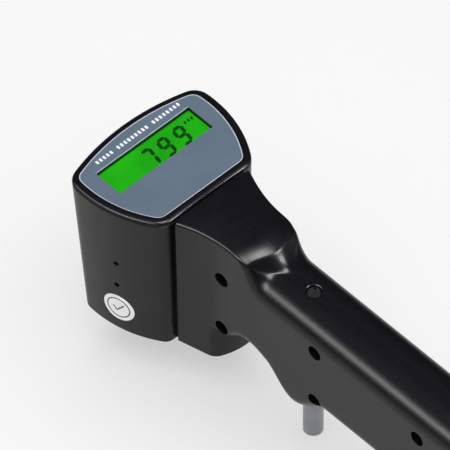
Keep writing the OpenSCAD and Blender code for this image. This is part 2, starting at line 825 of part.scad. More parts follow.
module leg_key() color(steel) place()
  along_x(-holder_half, -leg_r + key_depth - gap, -leg_back, key_z, key_r);

// The slotted spindle turns in the frame's lug and screws the leg up or down
module leg_screw() color(steel) place() {
  head_top = grip_top - 1;
  difference() {
    union() {
      along_z(-leg_back, holder_z1 - 8, lug_z1 + 0.1, leg_thread_r);
      along_z(-leg_back, lug_z1 + 0.1, head_top, leg_head_r);
    }
    translate([0, -leg_back, 0]) rotate([0, 0, 36])
      block([-3, -0.45, head_top - 1.2], [3, 0.45, head_top + 1]);
    translate([0, -leg_back, lug_z0 - 1.3]) difference() {
      cylinder(h = 1, r = leg_thread_r + 1);
      translate([0, 0, -1]) cylinder(h = 3, r = leg_thread_r - 0.4);
    }
  }
}

module screw_clip() color([0.25, 0.25, 0.27]) place() {
  difference() {
    along_z(-leg_back, lug_z0 - 1.2, lug_z0 - 0.4, leg_thread_r + 1.6);
    along_z(-leg_back, lug_z0 - 2, lug_z0, leg_thread_r - 0.4);
    block([-0.8, -leg_back, lug_z0 - 2], [0.8, -leg_back + 6, lug_z0]);
  }
}

// ---------------------------------------------------------------- battery

battery_y = door_start + 1.5;
battery_z = grip_bottom + door_t + 0.1;

// A rounded box that lies along Y
module round_box(half, y0, y1, z0, z1, r) {
  translate([0, y1, 0]) rotate([90, 0, 0]) linear_extrude(y1 - y0) {
    translate([-half + r, z0]) square([2 * half - 2 * r, z1 - z0]);
    translate([-half, z0 + r]) square([2 * half, z1 - z0 - 2 * r]);
    for (x = [-1, 1]) for (z = [z0 + r, z1 - r]) translate([x * (half - r), z]) circle(r, $fn = 32);
  }
}

module battery() color([0.75, 0.55, 0.2]) place() {
  mid_z = battery_z + battery_h / 2;
  round_box(battery_w / 2, -battery_y - battery_l, -battery_y - 3, battery_z, battery_z + battery_h, 2.2);
  for (s = [-1, 1])
    translate([0, -battery_y, mid_z + s * 6.35]) rotate([90, 0, 0]) cylinder(h = 3, r = s > 0 ? 2.8 : 3.6);
}

module battery_snap() color([0.1, 0.1, 0.1]) place() {
  mid_z = battery_z + battery_h / 2;
  difference() {
    block([-6.3, -battery_y - 2.6, mid_z - 12.5], [6.3, -battery_y + 1, mid_z + 12.5]);
    for (s = [-1, 1])
      translate([0, -battery_y + 0.1, mid_z + s * 6.35]) rotate([90, 0, 0])
        cylinder(h = 4, r = (s > 0 ? 2.8 : 3.6) + lie);
  }
}

// A full cross-section of the grip shrunk by t
function section_full(t) = let (left = section_half(grip_reach, t, 0))
  concat(left, [for (i = [len(left) - 2:-1:1]) [-left[i][0], left[i][1]]]);

module grip_prism(t, d0, d1) translate([0, -d0, 0]) rotate([90, 0, 0])
  linear_extrude(d1 - d0) polygon(section_full(t));

// The door is a slice of the grip's own underside with a rail along each edge
module battery_door() color(black_plastic) place() {
  start = door_start + gap;
  intersection() {
    difference() {
      grip_prism(0, start, grip_reach);
      grip_prism(door_t, start - 1, grip_reach + 1);
    }
    block([-door_half, -grip_reach - 1, grip_bottom - 1], [door_half, -start + 1, grip_bottom + 4.6]);
  }
  for (s = [-1, 1])
    block([s > 0 ? door_half - 0.8 : -door_half - 0.6, -grip_reach + 1, rail_z],
          [s > 0 ? door_half + 0.6 : -door_half + 0.8, -start - 1, rail_z + 0.6]);
}

left_shell();
right_shell();
label_plate();
round_sticker();
shell_screws();
display_carrier();
lcd_glass();
lcd_segments();
backlight_panel();
contact_strips();
main_board();
board_chips();
board_screws();
trimmer_board();
zero_trimmer();
zero_screw();
span_trimmer();
span_screw();
switch_board();
power_switch();
power_button();
main_frame();
plunger_guide();
plunger();
indenter_point();
load_spring();
load_screw();
lock_nut();
lever();
lever_pin();
sensor_bracket();
bracket_screws();
sensor_body();
sensor_core();
leg_bush();
leg();
leg_key();
leg_screw();
screw_clip();
battery();
battery_snap();
battery_door();
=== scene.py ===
"""Looks of a handheld indentation hardness tester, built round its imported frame.

Lengths inside the classes are millimetres in the maker's own frame: Y = 0 is the
display window's front edge, Z = 0 is the plane of the two feet, and a distance
"back" counts from the window's front edge towards the end of the grip.  Bench
moves a point from there into the part's frame, in metres.
"""

import json
import logging
import math
from collections.abc import Sequence
from dataclasses import dataclass, field
from enum import Enum

import bmesh
import bpy
import numpy as np
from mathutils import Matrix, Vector


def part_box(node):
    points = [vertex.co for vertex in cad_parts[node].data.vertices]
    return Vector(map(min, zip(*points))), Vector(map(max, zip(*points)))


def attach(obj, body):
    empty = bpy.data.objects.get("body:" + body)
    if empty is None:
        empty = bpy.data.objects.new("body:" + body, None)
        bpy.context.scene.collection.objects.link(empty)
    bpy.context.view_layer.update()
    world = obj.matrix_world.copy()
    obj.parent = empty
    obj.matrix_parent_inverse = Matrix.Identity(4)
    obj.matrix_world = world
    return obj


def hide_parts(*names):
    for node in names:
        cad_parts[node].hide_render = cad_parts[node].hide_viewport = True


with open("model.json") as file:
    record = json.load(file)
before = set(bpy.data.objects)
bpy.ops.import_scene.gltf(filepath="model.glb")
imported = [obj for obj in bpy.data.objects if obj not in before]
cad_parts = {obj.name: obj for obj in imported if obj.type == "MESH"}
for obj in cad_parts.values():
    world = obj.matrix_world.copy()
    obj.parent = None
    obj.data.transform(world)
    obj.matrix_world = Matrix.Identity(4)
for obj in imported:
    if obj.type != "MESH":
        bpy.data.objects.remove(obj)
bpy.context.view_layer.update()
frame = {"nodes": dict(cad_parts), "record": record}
LOG = logging.getLogger("tester")
MM = 0.001


# ------------------------------------------------------------------ small maths

def clip01(u: float) -> float:
    """Limits a share to the range from 0 to 1."""
    return min(1.0, max(0.0, u))


def smooth(u: float) -> float:
    """Eases from 0 to 1 with level ends."""
    c = clip01(u)
    return c * c * (3 - 2 * c)


def bump(u: float) -> float:
    """A smooth hump that is 1 at 0 and ends at -1 and 1."""
    return 0.0 if abs(u) >= 1 else (1 - u * u) ** 2


def soft_min(a: float, b: float, width: float) -> float:
    """The smaller of two values, rounded where they cross.

    Args:
        a: First value.
        b: Second value.
        width: How far from the crossing the rounding reaches.

    Returns:
        The rounded minimum.
    """
    share = clip01(0.5 + 0.5 * (b - a) / width)
    return b + (a - b) * share - width * share * (1 - share)


def arc(centre: Sequence[float], radius: float, start: float, end: float, steps: int) -> np.ndarray:
    """Points along a circular arc, without its last point.

    Args:
        centre: The circle's centre in the plane.
        radius: The circle's radius.
        start: First angle in radians.
        end: Last angle in radians.
        steps: Number of points.

    Returns:
        An array of points, one row each.
    """
    angles = np.linspace(start, end, steps, endpoint=False)
    return np.column_stack([centre[0] + radius * np.cos(angles), centre[1] + radius * np.sin(angles)])


def quarter(steps: int) -> list[tuple[float, float]]:
    """Sine and cosine complements along a quarter turn.

    Args:
        steps: Number of stretches in the quarter.

    Returns:
        Pairs (1 - sin, 1 - cos) from the flat end to the steep end.
    """
    turns = [0.5 * math.pi * k / steps for k in range(steps + 1)]
    return [(1 - math.sin(a), 1 - math.cos(a)) for a in turns]


# ------------------------------------------------------------------ meshes

class Axis(Enum):
    """A direction of the frame, with the two directions across it."""

    X = (0, 1, 2)
    Y = (1, 2, 0)
    Z = (2, 0, 1)


class Join(Enum):
    """Ways of putting one solid together with another."""

    ADD = "UNION"
    CUT = "DIFFERENCE"
    KEEP = "INTERSECT"


@dataclass(frozen=True)
class Bench:
    """Where the maker's own frame lies in the part's frame, in metres.

    Attributes:
        window_y: Place of the display window's front edge.
        feet_z: Height of the plane of the two feet.
    """

    window_y: float
    feet_z: float

    @classmethod
    def from_frame(cls) -> "Bench":
        """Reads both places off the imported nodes."""
        glass_lip = 0.9 * MM
        return cls(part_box("lcd_glass")[1].y - glass_lip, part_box("plunger_guide")[0].z)

    def to_frame(self, points: np.ndarray) -> np.ndarray:
        """Moves points in millimetres into the part's frame.

        Args:
            points: One row per point.

        Returns:
            The same points in metres in the part's frame.
        """
        return np.asarray(points) * MM + np.array([0.0, self.window_y, self.feet_z])

    def back_of(self, y: float) -> float:
        """Distance in millimetres of a frame place behind the window's front edge."""
        return (self.window_y - y) / MM

    def height_of(self, z: float) -> float:
        """Height in millimetres of a frame place above the feet."""
        return (z - self.feet_z) / MM


BENCH = Bench.from_frame()


def new_object(name: str, mesh: bpy.types.Mesh) -> bpy.types.Object:
    """Links a mesh into the scene.

    Args:
        name: The object's name.
        mesh: Its mesh.

    Returns:
        The new object.
    """
    thing = bpy.data.objects.new(name, mesh)
    bpy.context.scene.collection.objects.link(thing)
    return thing


def solid(name: str, rings: Sequence[np.ndarray], looped: bool = False) -> bpy.types.Object:
    """A closed solid through rings that all have the same number of points.

    Args:
        name: The object's name.
        rings: Arrays of points in the maker's frame.
        looped: Joins the last ring to the first one in place of two end caps.

    Returns:
        The solid, with its faces pointing outwards.
    """
    count, levels = len(rings[0]), len(rings)
    faces = [
        [j * count + i, j * count + (i + 1) % count,
         (j + 1) % levels * count + (i + 1) % count, (j + 1) % levels * count + i]
        for j in range(levels if looped else levels - 1) for i in range(count)
    ]
    if not looped:
        faces += [list(range(count)), list(range((levels - 1) * count, levels * count))]
    mesh = bpy.data.meshes.new(name)
    mesh.from_pydata(BENCH.to_frame(np.concatenate(rings)).tolist(), [], faces)
    shell = bmesh.new()
    shell.from_mesh(mesh)
    bmesh.ops.recalc_face_normals(shell, faces=shell.faces)
    shell.to_mesh(mesh)
    shell.free()
    return new_object(name, mesh)


def turned(name: str, axis: Axis, centre: Sequence[float], profile: Sequence[Sequence[float]],
           steps: int = 64) -> bpy.types.Object:
    """A turned solid.

    Args:
        name: The object's name.
        axis: The direction that it is turned about.
        centre: The axis's place along the two directions across it.
        profile: Pairs of place along the axis and radius.
        steps: Number of points round the axis.

    Returns:
        The solid.
    """
    along, first, second = axis.value
    angles = np.linspace(0, 2 * math.pi, steps, endpoint=False)
    rings = []
    for place, radius in profile:
        ring = np.zeros((steps, 3))
        ring[:, along] = place
        ring[:, first] = centre[0] + radius * np.cos(angles)
        ring[:, second] = centre[1] + radius * np.sin(angles)
        rings.append(ring)
    return solid(name, rings)


def block(name: str, low: Sequence[float], high: Sequence[float]) -> bpy.types.Object:
    """A box for cutting, given by its two corners.

    Args:
        name: The object's name.
        low: The lowest corner.
        high: The highest corner.

    Returns:
        The box.
    """
    around = [(0, 0), (1, 0), (1, 1), (0, 1)]
    pick = (low, high)
    return solid(name, [np.array([[pick[i][0], pick[j][1], level[2]] for i, j in around]) for level in pick])


def merged(name: str, pieces: Sequence[bpy.types.Object]) -> bpy.types.Object:
    """Puts pieces that don't touch into one object.

    Args:
        name: The new object's name.
        pieces: The pieces, which are used up.

    Returns:
        The object that holds them all.
    """
    shell = bmesh.new()
    for piece in pieces:
        shell.from_mesh(piece.data)
        bpy.data.objects.remove(piece)
    mesh = bpy.data.meshes.new(name)
    shell.to_mesh(mesh)
    shell.free()
    return new_object(name, mesh)


def combine(body: bpy.types.Object, tool: bpy.types.Object, how: Join) -> bpy.types.Object:
    """Joins a solid with another, cuts with it, or keeps what they share.

    Args:
        body: The solid that is changed.
        tool: The other solid, which is used up.
        how: The way of combining them.

    Returns:
        The changed solid.
    """
    step = body.modifiers.new("combine", "BOOLEAN")
    step.object, step.operation, step.solver = tool, how.value, "MANIFOLD"
    shaped = body.evaluated_get(bpy.context.evaluated_depsgraph_get())
    body.data = bpy.data.meshes.new_from_object(shaped)
    body.modifiers.clear()
    bpy.data.objects.remove(tool)
    return body


def shade(piece: bpy.types.Object, crease_deg: float = 32.0) -> bpy.types.Object:
    """Smooths a piece's shading between its creases.

    Args:
        piece: The piece.
        crease_deg: Edges that turn more than this stay sharp.

    Returns:
        The piece.
    """
    piece.data.shade_smooth()
    piece.data.set_sharp_from_angle(angle=math.radians(crease_deg))
    weights = piece.modifiers.new("weights", "WEIGHTED_NORMAL")
    weights.keep_sharp = True
    shaped = piece.evaluated_get(bpy.context.evaluated_depsgraph_get())
    piece.data = bpy.data.meshes.new_from_object(shaped)
    piece.modifiers.clear()
    return piece


def settle(piece: bpy.types.Object, body: str, material: bpy.types.Material,
           stands_for: Sequence[str] = ()) -> bpy.types.Object:
    """Dresses a finished piece and ties it to its body.

    Args:
        piece: The piece.
        body: The body that it rides on.
        material: Its material.
        stands_for: Nodes that it replaces.

    Returns:
        The piece.
    """
    piece.data.materials.clear()
    piece.data.materials.append(material)
    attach(piece, body)
    if stands_for:
        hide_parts(*stands_for)
    LOG.info("%s: %d faces on %s", piece.name, len(piece.data.polygons), body)
    return piece


# ------------------------------------------------------------------ finishes

@dataclass
class Sheet:
    """A material's node sheet with short ways to add and join nodes.

    Attributes:
        name: The material's name.
    """

    name: str
    material: bpy.types.Material = field(init=False)
    shader: bpy.types.Node = field(init=False)

    def __post_init__(self) -> None:
        """Starts the sheet with one shader and its output."""
        self.material = bpy.data.materials.new(self.name)
        self.material.use_nodes = True
        self.material.node_tree.nodes.clear()
        self.shader = self.add("ShaderNodeBsdfPrincipled")
        self.join(self.shader, "BSDF", self.add("ShaderNodeOutputMaterial"), "Surface")

    def add(self, kind: str, **values: object) -> bpy.types.Node:
        """Adds a node.

        Args:
            kind: The node's type.
            **values: Properties, or inputs where the name is an input's with underscores.

        Returns:
            The node.
        """
        node = self.material.node_tree.nodes.new(kind)
        for key, value in values.items():
            if hasattr(node, key):
                setattr(node, key, value)
            else:
                node.inputs[key.replace("_", " ")].default_value = value
        return node

    def join(self, source: bpy.types.Node, output: str | int,
             target: bpy.types.Node, entry: str | int) -> None:
        """Links one node's output to another's input."""
        self.material.node_tree.links.new(source.outputs[output], target.inputs[entry])

    def noise(self, grain_mm: float, stretch: Sequence[float] = (1, 1, 1),
              detail: float = 3.0) -> bpy.types.Node:
        """A noise texture in the piece's own space.

        Args:
            grain_mm: Size of its grain.
            stretch: How much denser it is along each direction.
            detail: Octaves of detail.

        Returns:
            The texture node.
        """
        place = self.add("ShaderNodeTexCoord")
        scale = self.add("ShaderNodeMapping")
        scale.inputs["Scale"].default_value = [s / (grain_mm * MM) for s in stretch]
        texture = self.add("ShaderNodeTexNoise", Detail=detail, Scale=1.0)
        self.join(place, "Object", scale, "Vector")
        self.join(scale, "Vector", texture, "Vector")
        return texture

    def spread(self, source: bpy.types.Node, low: float, high: float) -> bpy.types.Node:
        """Maps a texture's middle range onto the range from low to high."""
        ranged = self.add("ShaderNodeMapRange", From_Min=0.3, From_Max=0.7, To_Min=low, To_Max=high)
        self.join(source, "Fac" if "Fac" in source.outputs else 0, ranged, "Value")
        return ranged

    def tint(self, source: bpy.types.Node, dark: Sequence[float], light: Sequence[float]) -> bpy.types.Node:
        """Blends two colours by a texture."""
        ramp = self.add("ShaderNodeValToRGB")
        ramp.color_ramp.elements[0].position, ramp.color_ramp.elements[1].position = 0.3, 0.7
        ramp.color_ramp.elements[0].color = (*dark, 1)
        ramp.color_ramp.elements[1].color = (*light, 1)
        self.join(source, "Fac" if "Fac" in source.outputs else 0, ramp, "Fac")
        return ramp


@dataclass(frozen=True)
class Finish:
    """One surface finish: a mottled colour, a grain in the gloss and a fine relief.

    Attributes:
        name: The finish in a maker's words.
        colour: Mean colour, linear.
        rough: Lowest and highest roughness.
        metal: 1 for bare metal, 0 for anything else.
        mottle: Share by which the colour varies.
        mottle_mm: Size of the colour's patches.
        grain_mm: Size of the relief's grain.
        stretch: How much denser the grain is along each direction.
        relief_mm: Height of the relief.
        specular: The shader's specular level.
        glow: Light that it gives off, as from a lit table.
    """

    name: str
    colour: tuple[float, float, float]
    rough: tuple[float, float] = (0.35, 0.45)
    metal: float = 0.0
    mottle: float = 0.1
    mottle_mm: float = 12.0
    grain_mm: float = 0.3
    stretch: tuple[float, float, float] = (1, 1, 1)
    relief_mm: float = 0.01
    specular: float = 0.5
    glow: float = 0.0

    def build(self) -> bpy.types.Material:
        """Makes the material.

        Returns:
            The new material.
        """
        sheet = Sheet(self.name)
        shader = sheet.shader
        shader.inputs["Metallic"].default_value = self.metal
        shader.inputs["Specular IOR Level"].default_value = self.specular
        shader.inputs["Emission Color"].default_value = (1, 1, 1, 1)
        shader.inputs["Emission Strength"].default_value = self.glow
        patches = sheet.noise(self.mottle_mm)
        tint = sheet.tint(patches, [c * (1 - self.mottle) for c in self.colour],
                          [min(1.0, c * (1 + self.mottle)) for c in self.colour])
        sheet.join(tint, "Color", shader, "Base Color")
        grain = sheet.noise(self.grain_mm, self.stretch)
        sheet.join(sheet.spread(grain, *self.rough), 0, shader, "Roughness")
        relief = sheet.add("ShaderNodeBump", Strength=1.0, Distance=self.relief_mm * MM)
        sheet.join(grain, "Fac", relief, "Height")
        sheet.join(relief, "Normal", shader, "Normal")
        return sheet.material


@dataclass(frozen=True)
class BoardFinish:
    """Solder mask over a mesh of fine conductors.

    Attributes:
        name: The finish in a maker's words.
        mask: Colour of the mask.
        trace: Colour of the mask over copper.
        pitch_mm: Pitch of the conductors.
    """

    name: str = "solder_mask"
    mask: tuple[float, float, float] = (0.008, 0.09, 0.035)
    trace: tuple[float, float, float] = (0.02, 0.20, 0.08)
    pitch_mm: float = 2.2

    def build(self) -> bpy.types.Material:
        """Makes the material."""
        sheet = Sheet(self.name)
        place = sheet.add("ShaderNodeTexCoord")
        cells = sheet.add("ShaderNodeTexBrick", Scale=1 / (self.pitch_mm * MM), Mortar_Size=0.05)
        cells.inputs["Color1"].default_value = (*self.mask, 1)
        cells.inputs["Color2"].default_value = (*[c * 0.8 for c in self.mask], 1)
        cells.inputs["Mortar"].default_value = (*self.trace, 1)
        sheet.join(place, "Object", cells, "Vector")
        sheet.join(cells, "Color", sheet.shader, "Base Color")
        sheet.join(sheet.spread(sheet.noise(0.6), 0.25, 0.38), 0, sheet.shader, "Roughness")
        return sheet.material


@dataclass(frozen=True)
class LitFinish:
    """A backlit display cell: it glows a little unevenly, in broad random patches.

    Attributes:
        name: The finish in a maker's words.
        glow: Emitted colour where the cell is brightest.
        dim: Emitted colour where it is dimmest.
        strength: Strength of the glow.
        base: Colour of the cell itself.
    """

    name: str = "lit_display"
    glow: tuple[float, float, float] = (0.018, 0.46, 0.004)
    dim: tuple[float, float, float] = (0.010, 0.33, 0.003)
    strength: float = 1.0
    base: tuple[float, float, float] = (0.004, 0.05, 0.003)

    def build(self) -> bpy.types.Material:
        """Makes the material."""
        sheet = Sheet(self.name)
        shader = sheet.shader
        shader.inputs["Base Color"].default_value = (*self.base, 1)
        shader.inputs["Emission Strength"].default_value = self.strength
        haze = sheet.tint(sheet.noise(16.0, detail=1.0), self.dim, self.glow)
        sheet.join(haze, "Color", shader, "Emission Color")
        sheet.join(sheet.spread(sheet.noise(0.8), 0.22, 0.3), 0, shader, "Roughness")
        return sheet.material


class Finishes(Enum):
    """Every finish on the object, by the record's material slot."""

    casing = Finish("satin_black_plastic", (0.0050, 0.0049, 0.0068), rough=(0.28, 0.36), mottle=0.12,
                    mottle_mm=9.0, grain_mm=0.45, relief_mm=0.006, specular=0.45)
    label = Finish("printed_overlay", (0.084, 0.113, 0.146), rough=(0.42, 0.5), mottle=0.05, mottle_mm=14.0,
                   grain_mm=0.35, relief_mm=0.002, specular=0.3)
    label_border = Finish("overlay_border", (0.33, 0.35, 0.39), rough=(0.4, 0.5), mottle=0.04, mottle_mm=3.0,
                          relief_mm=0.001, specular=0.3)
    label_print = Finish("overlay_print", (0.50, 0.52, 0.56), rough=(0.4, 0.5), mottle=0.04, mottle_mm=3.0,
                         relief_mm=0.001, specular=0.3)
    sticker = Finish("sticker_film", (0.88, 0.88, 0.88), rough=(0.35, 0.45), mottle=0.03, mottle_mm=4.0,
                     relief_mm=0.002)
    sticker_ink = Finish("sticker_ink", (0.10, 0.10, 0.11), rough=(0.4, 0.5), mottle=0.1, mottle_mm=1.0,
                         relief_mm=0.001)
    inner_plastic = Finish("matt_black_plastic", (0.02, 0.02, 0.02), rough=(0.5, 0.62), relief_mm=0.01)
    lcd = LitFinish()
    lcd_ink = Finish("display_ink", (0.0, 0.045, 0.0), rough=(0.3, 0.4), mottle=0.2, mottle_mm=2.0,
                     relief_mm=0.001)
    backlight = Finish("light_guide", (0.45, 0.85, 0.40), rough=(0.2, 0.3), mottle=0.05)
    contact_rubber = Finish("layered_rubber", (0.20, 0.20, 0.21), rough=(0.6, 0.75), mottle=0.4,
                            mottle_mm=0.4, stretch=(6, 1, 1), relief_mm=0.02)
    circuit_board = BoardFinish()
    chip = Finish("moulded_epoxy", (0.018, 0.018, 0.019), rough=(0.45, 0.6), mottle=0.2, grain_mm=0.15)
    trimmer_case = Finish("blue_moulding", (0.03, 0.10, 0.38), rough=(0.28, 0.38), mottle=0.06)
    button = Finish("matt_grey_plastic", (0.035, 0.035, 0.038), rough=(0.45, 0.55), mottle=0.1,
                    grain_mm=0.25, relief_mm=0.01)
    steel = Finish("turned_steel", (0.50, 0.51, 0.53), metal=1.0, rough=(0.2, 0.36), mottle=0.06,
                   grain_mm=0.12, stretch=(0.2, 0.2, 3), relief_mm=0.003)
    leg_steel = Finish("satin_ground_steel", (0.315, 0.32, 0.335), metal=1.0, rough=(0.3, 0.42), mottle=0.06,
                       mottle_mm=6.0, grain_mm=0.15, stretch=(0.3, 0.3, 3), relief_mm=0.003)
    black_steel = Finish("black_oxide", (0.035, 0.035, 0.04), metal=0.6, rough=(0.35, 0.5), mottle=0.2,
                         mottle_mm=1.5)
    spindle = Finish("blackened_screw", (0.24, 0.24, 0.25), metal=1.0, rough=(0.3, 0.4), mottle=0.15,
                     mottle_mm=1.5, grain_mm=0.5, relief_mm=0.002)
    hard_steel = Finish("polished_steel", (0.42, 0.43, 0.45), metal=1.0, rough=(0.12, 0.2), mottle=0.05,
                        grain_mm=0.1, stretch=(0.3, 0.3, 3), relief_mm=0.001)
    alloy = Finish("cast_alloy", (0.58, 0.59, 0.61), metal=1.0, rough=(0.38, 0.55), mottle=0.08,
                   mottle_mm=5.0, grain_mm=0.5, relief_mm=0.02)
    brass = Finish("turned_brass", (0.66, 0.46, 0.17), metal=1.0, rough=(0.2, 0.34), mottle=0.07,
                   mottle_mm=3.0, grain_mm=0.12, stretch=(0.2, 0.2, 3), relief_mm=0.003)
    sensor_case = Finish("drawn_tube", (0.55, 0.56, 0.58), metal=1.0, rough=(0.22, 0.32), mottle=0.05,
                         grain_mm=0.15, stretch=(2, 2, 0.1), relief_mm=0.002)
    battery_wrap = Finish("battery_jacket", (0.06, 0.065, 0.075), metal=0.7, rough=(0.25, 0.38), mottle=0.1,
                          stretch=(1, 0.1, 1))
    floor = Finish("pale_table", (0.21, 0.21, 0.212), rough=(0.6, 0.7), mottle=0.004, mottle_mm=60.0,
                   grain_mm=1.5, relief_mm=0.004, specular=0.1, glow=0.575)


@dataclass
class Paint:
    """Makes each finish once and hands it out."""

    made: dict[str, bpy.types.Material] = field(default_factory=dict)

    def of(self, finish: Finishes) -> bpy.types.Material:
        """The material of a finish.

        Args:
            finish: The finish.

        Returns:
            Its material, made at the first call.
        """
        if finish.name not in self.made:
            self.made[finish.name] = finish.value.build()
        return self.made[finish.name]


# ------------------------------------------------------------------ outlines

@dataclass(frozen=True)
class Outline:
    """A plan outline with an arched front, bowed sides, a straight rear and round corners.

    Attributes:
        front: How far its front reaches before the window's front edge.
        half: Half its greatest width.
        rear: How far its rear reaches behind the window's front edge.
        front_arc: Radius of the front.
        side_arc: Radius of the sides.
        corner: Radius of the corners.
        widest: Distance back of the greatest width.
    """

    front: float
    half: float
    rear: float
    front_arc: float
    side_arc: float
    corner: float
    widest: float = 3.8

    def grown(self, by: float) -> "Outline":
        """The outline moved outwards by a distance, or inwards where it is negative."""
        return Outline(self.front + by, self.half + by, self.rear + by, self.front_arc + by,
                       self.side_arc + by, max(1.0, self.corner + by), self.widest)

    def blended(self, other: "Outline", share: float) -> "Outline":
        """An outline between this one and another.

        Args:
            other: The other outline.
            share: 0 for this one, 1 for the other.

        Returns:
            The outline between.
        """
        names = ("front", "half", "rear", "front_arc", "side_arc", "corner", "widest")
        return Outline(*[(1 - share) * getattr(self, n) + share * getattr(other, n) for n in names])

    def left(self) -> np.ndarray:
        """Points from the front's middle round the left side to the rear's middle."""
        nose = np.array([0.0, self.front - self.front_arc])
        side = np.array([self.side_arc - self.half, -self.widest])
        reach_nose, reach_side = self.front_arc - self.corner, self.side_arc - self.corner
        span = side - nose
        gap = np.linalg.norm(span)
        along = (reach_nose ** 2 - reach_side ** 2 + gap ** 2) / (2 * gap)
        across = math.sqrt(reach_nose ** 2 - along ** 2)
        unit = span / gap
        spots = [nose + along * unit + s * across * np.array([-unit[1], unit[0]]) for s in (-1, 1)]
        front_corner = min(spots, key=lambda p: p[0])
        rear_y = self.corner - self.rear
        rear_corner = np.array([side[0] - math.sqrt(reach_side ** 2 - (rear_y - side[1]) ** 2), rear_y])

        def bearing(origin: np.ndarray, to: np.ndarray) -> float:
            """Angle from one point to another, from 0 to a full turn."""
            return math.atan2(to[1] - origin[1], to[0] - origin[0]) % (2 * math.pi)

        nose_end, side_start = bearing(nose, front_corner), bearing(side, front_corner)
        side_end = bearing(side, rear_corner)
        straight = np.linspace(rear_corner[0], 0, 9)
        return np.concatenate([
            arc(nose, self.front_arc, math.pi / 2, nose_end, 16),
            arc(front_corner, self.corner, nose_end, side_start, 8),
            arc(side, self.side_arc, side_start, side_end, 30),
            arc(rear_corner, self.corner, side_end, 1.5 * math.pi, 8),
            np.column_stack([straight, np.full(len(straight), -self.rear)]),
        ])

    def ring(self, z: float, shift: float = 0.0) -> np.ndarray:
        """The closed outline as a level ring.

        Args:
            z: The ring's height.
            shift: How far it is moved back.

        Returns:
            Its points.
        """
        left = self.left()
        right = left[-2:0:-1] * np.array([-1, 1])
        flat = np.concatenate([left, right]) - np.array([0, shift])
        return np.column_stack([flat, np.full(len(flat), z)])


# ------------------------------------------------------------------ casing

@dataclass(frozen=True)
class CasingSizes:
    """Driving sizes of the casing.

    Attributes:
        label_z: Height of the label's face.
        label: The label's outline.
        rim_side: Width of the rim beside the label.
        rim_front: Width of the rim before the label.
        rim_rear: Width of the rim behind the label.
        grip_reach: Distance back of the grip's end.
        window_w: Width of the display window.
        window_d: Depth of the display window.
        leg_back: Distance back of the leg's axis.
    """

    label_z: float
    label: Outline
    rim_side: float
    rim_front: float
    rim_rear: float
    grip_reach: float
    window_w: float
    window_d: float
    leg_back: float
    head_clear: float = 18.0
    rim_up: float = 0.4
    rim_round: float = 1.7
    side_draft: float = 2.9
    front_draft: float = 6.6
    label_t: float = 0.4
    seat_t: float = 1.6
    wall: float = 2.5
    groove_w: float = 1.9
    groove_d: float = 1.8
    grip_drop: float = 7.0
    grip_h: float = 47.0
    grip_half: float = 13.5
    shoulder_r: float = 10.0
    belly_r: float = 7.5
    block_belly_r: float = 2.5
    neck_half: float = 19.8
    neck_edge: float = 0.6
    crown: float = 1.4
    foot_draft: float = 1.5
    edge_r: float = 1.7
    front_edge_r: float = 0.5
    end_r: float = 2.0
    boss_r: float = 3.9

    @classmethod
    def from_frame(cls) -> "CasingSizes":
        """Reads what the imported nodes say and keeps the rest."""
        label_low, label_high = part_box("label_plate")
        shell_low, shell_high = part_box("left_shell")
        glass_low, glass_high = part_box("lcd_glass")
        leg_low, leg_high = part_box("leg")
        half, front, rear = label_high.x / MM, -BENCH.back_of(label_high.y), BENCH.back_of(label_low.y)
        glass_lap = 1.4
        return cls(
            label_z=BENCH.height_of(label_high.z),
            label=Outline(front, half, rear, front_arc=98.0, side_arc=50.0, corner=4.5),
            rim_side=-shell_low.x / MM - half,
            rim_front=-BENCH.back_of(shell_high.y) - front,
            rim_rear=3.3,
            grip_reach=BENCH.back_of(shell_low.y),
            window_w=(glass_high.x - glass_low.x) / MM - 2 * glass_lap,
            window_d=BENCH.back_of(glass_low.y) - glass_lap,
            leg_back=BENCH.back_of((leg_low.y + leg_high.y) / 2),
        )

    @property
    def rim_z(self) -> float:
        """Height of the rim."""
        return self.label_z + self.rim_up

    @property
    def ceiling_z(self) -> float:
        """Height of the inside of the head's top."""
        return self.label_z - self.label_t - self.seat_t

    @property
    def head(self) -> Outline:
        """The head's outline at the foot of the rim's rounding."""
        label = self.label
        return Outline(label.front + self.rim_front, label.half + self.rim_side, label.rear + self.rim_rear,
                       label.front_arc + self.rim_front, label.side_arc + self.rim_side,
                       label.corner + self.rim_side)

    @property
    def grip_top(self) -> float:
        """Height of the grip's top."""
        return self.label_z - self.grip_drop

    @property
    def grip_bottom(self) -> float:
        """Height of the grip's underside."""
        return self.grip_top - self.grip_h

    @property
    def neck_start(self) -> float:
        """Distance back of the neck's front face."""
        return self.head.rear + self.groove_w

    @property
    def neck_end(self) -> float:
        """Distance back at which the neck begins to fall to the grip."""
        return self.neck_start + 35.5

    @property
    def waist_back(self) -> float:
        """Distance back of the neck's narrowest place."""
        return self.neck_start + 25.1

    @property
    def block_rear(self) -> float:
        """Distance back of the deep block's rear face."""
        return self.neck_start + 19.7

    @property
    def screws(self) -> list[tuple[float, float]]:
        """Places of the casing screws as distance back and height."""
        upper, lower = self.grip_top - 13.5, self.grip_bottom + 5
        front, middle = self.neck_start + 20, self.leg_back + 14.4
        return [(front, upper), (front, lower), (middle, upper), (middle, lower),
                (self.grip_reach - 27, self.grip_top - 15)]


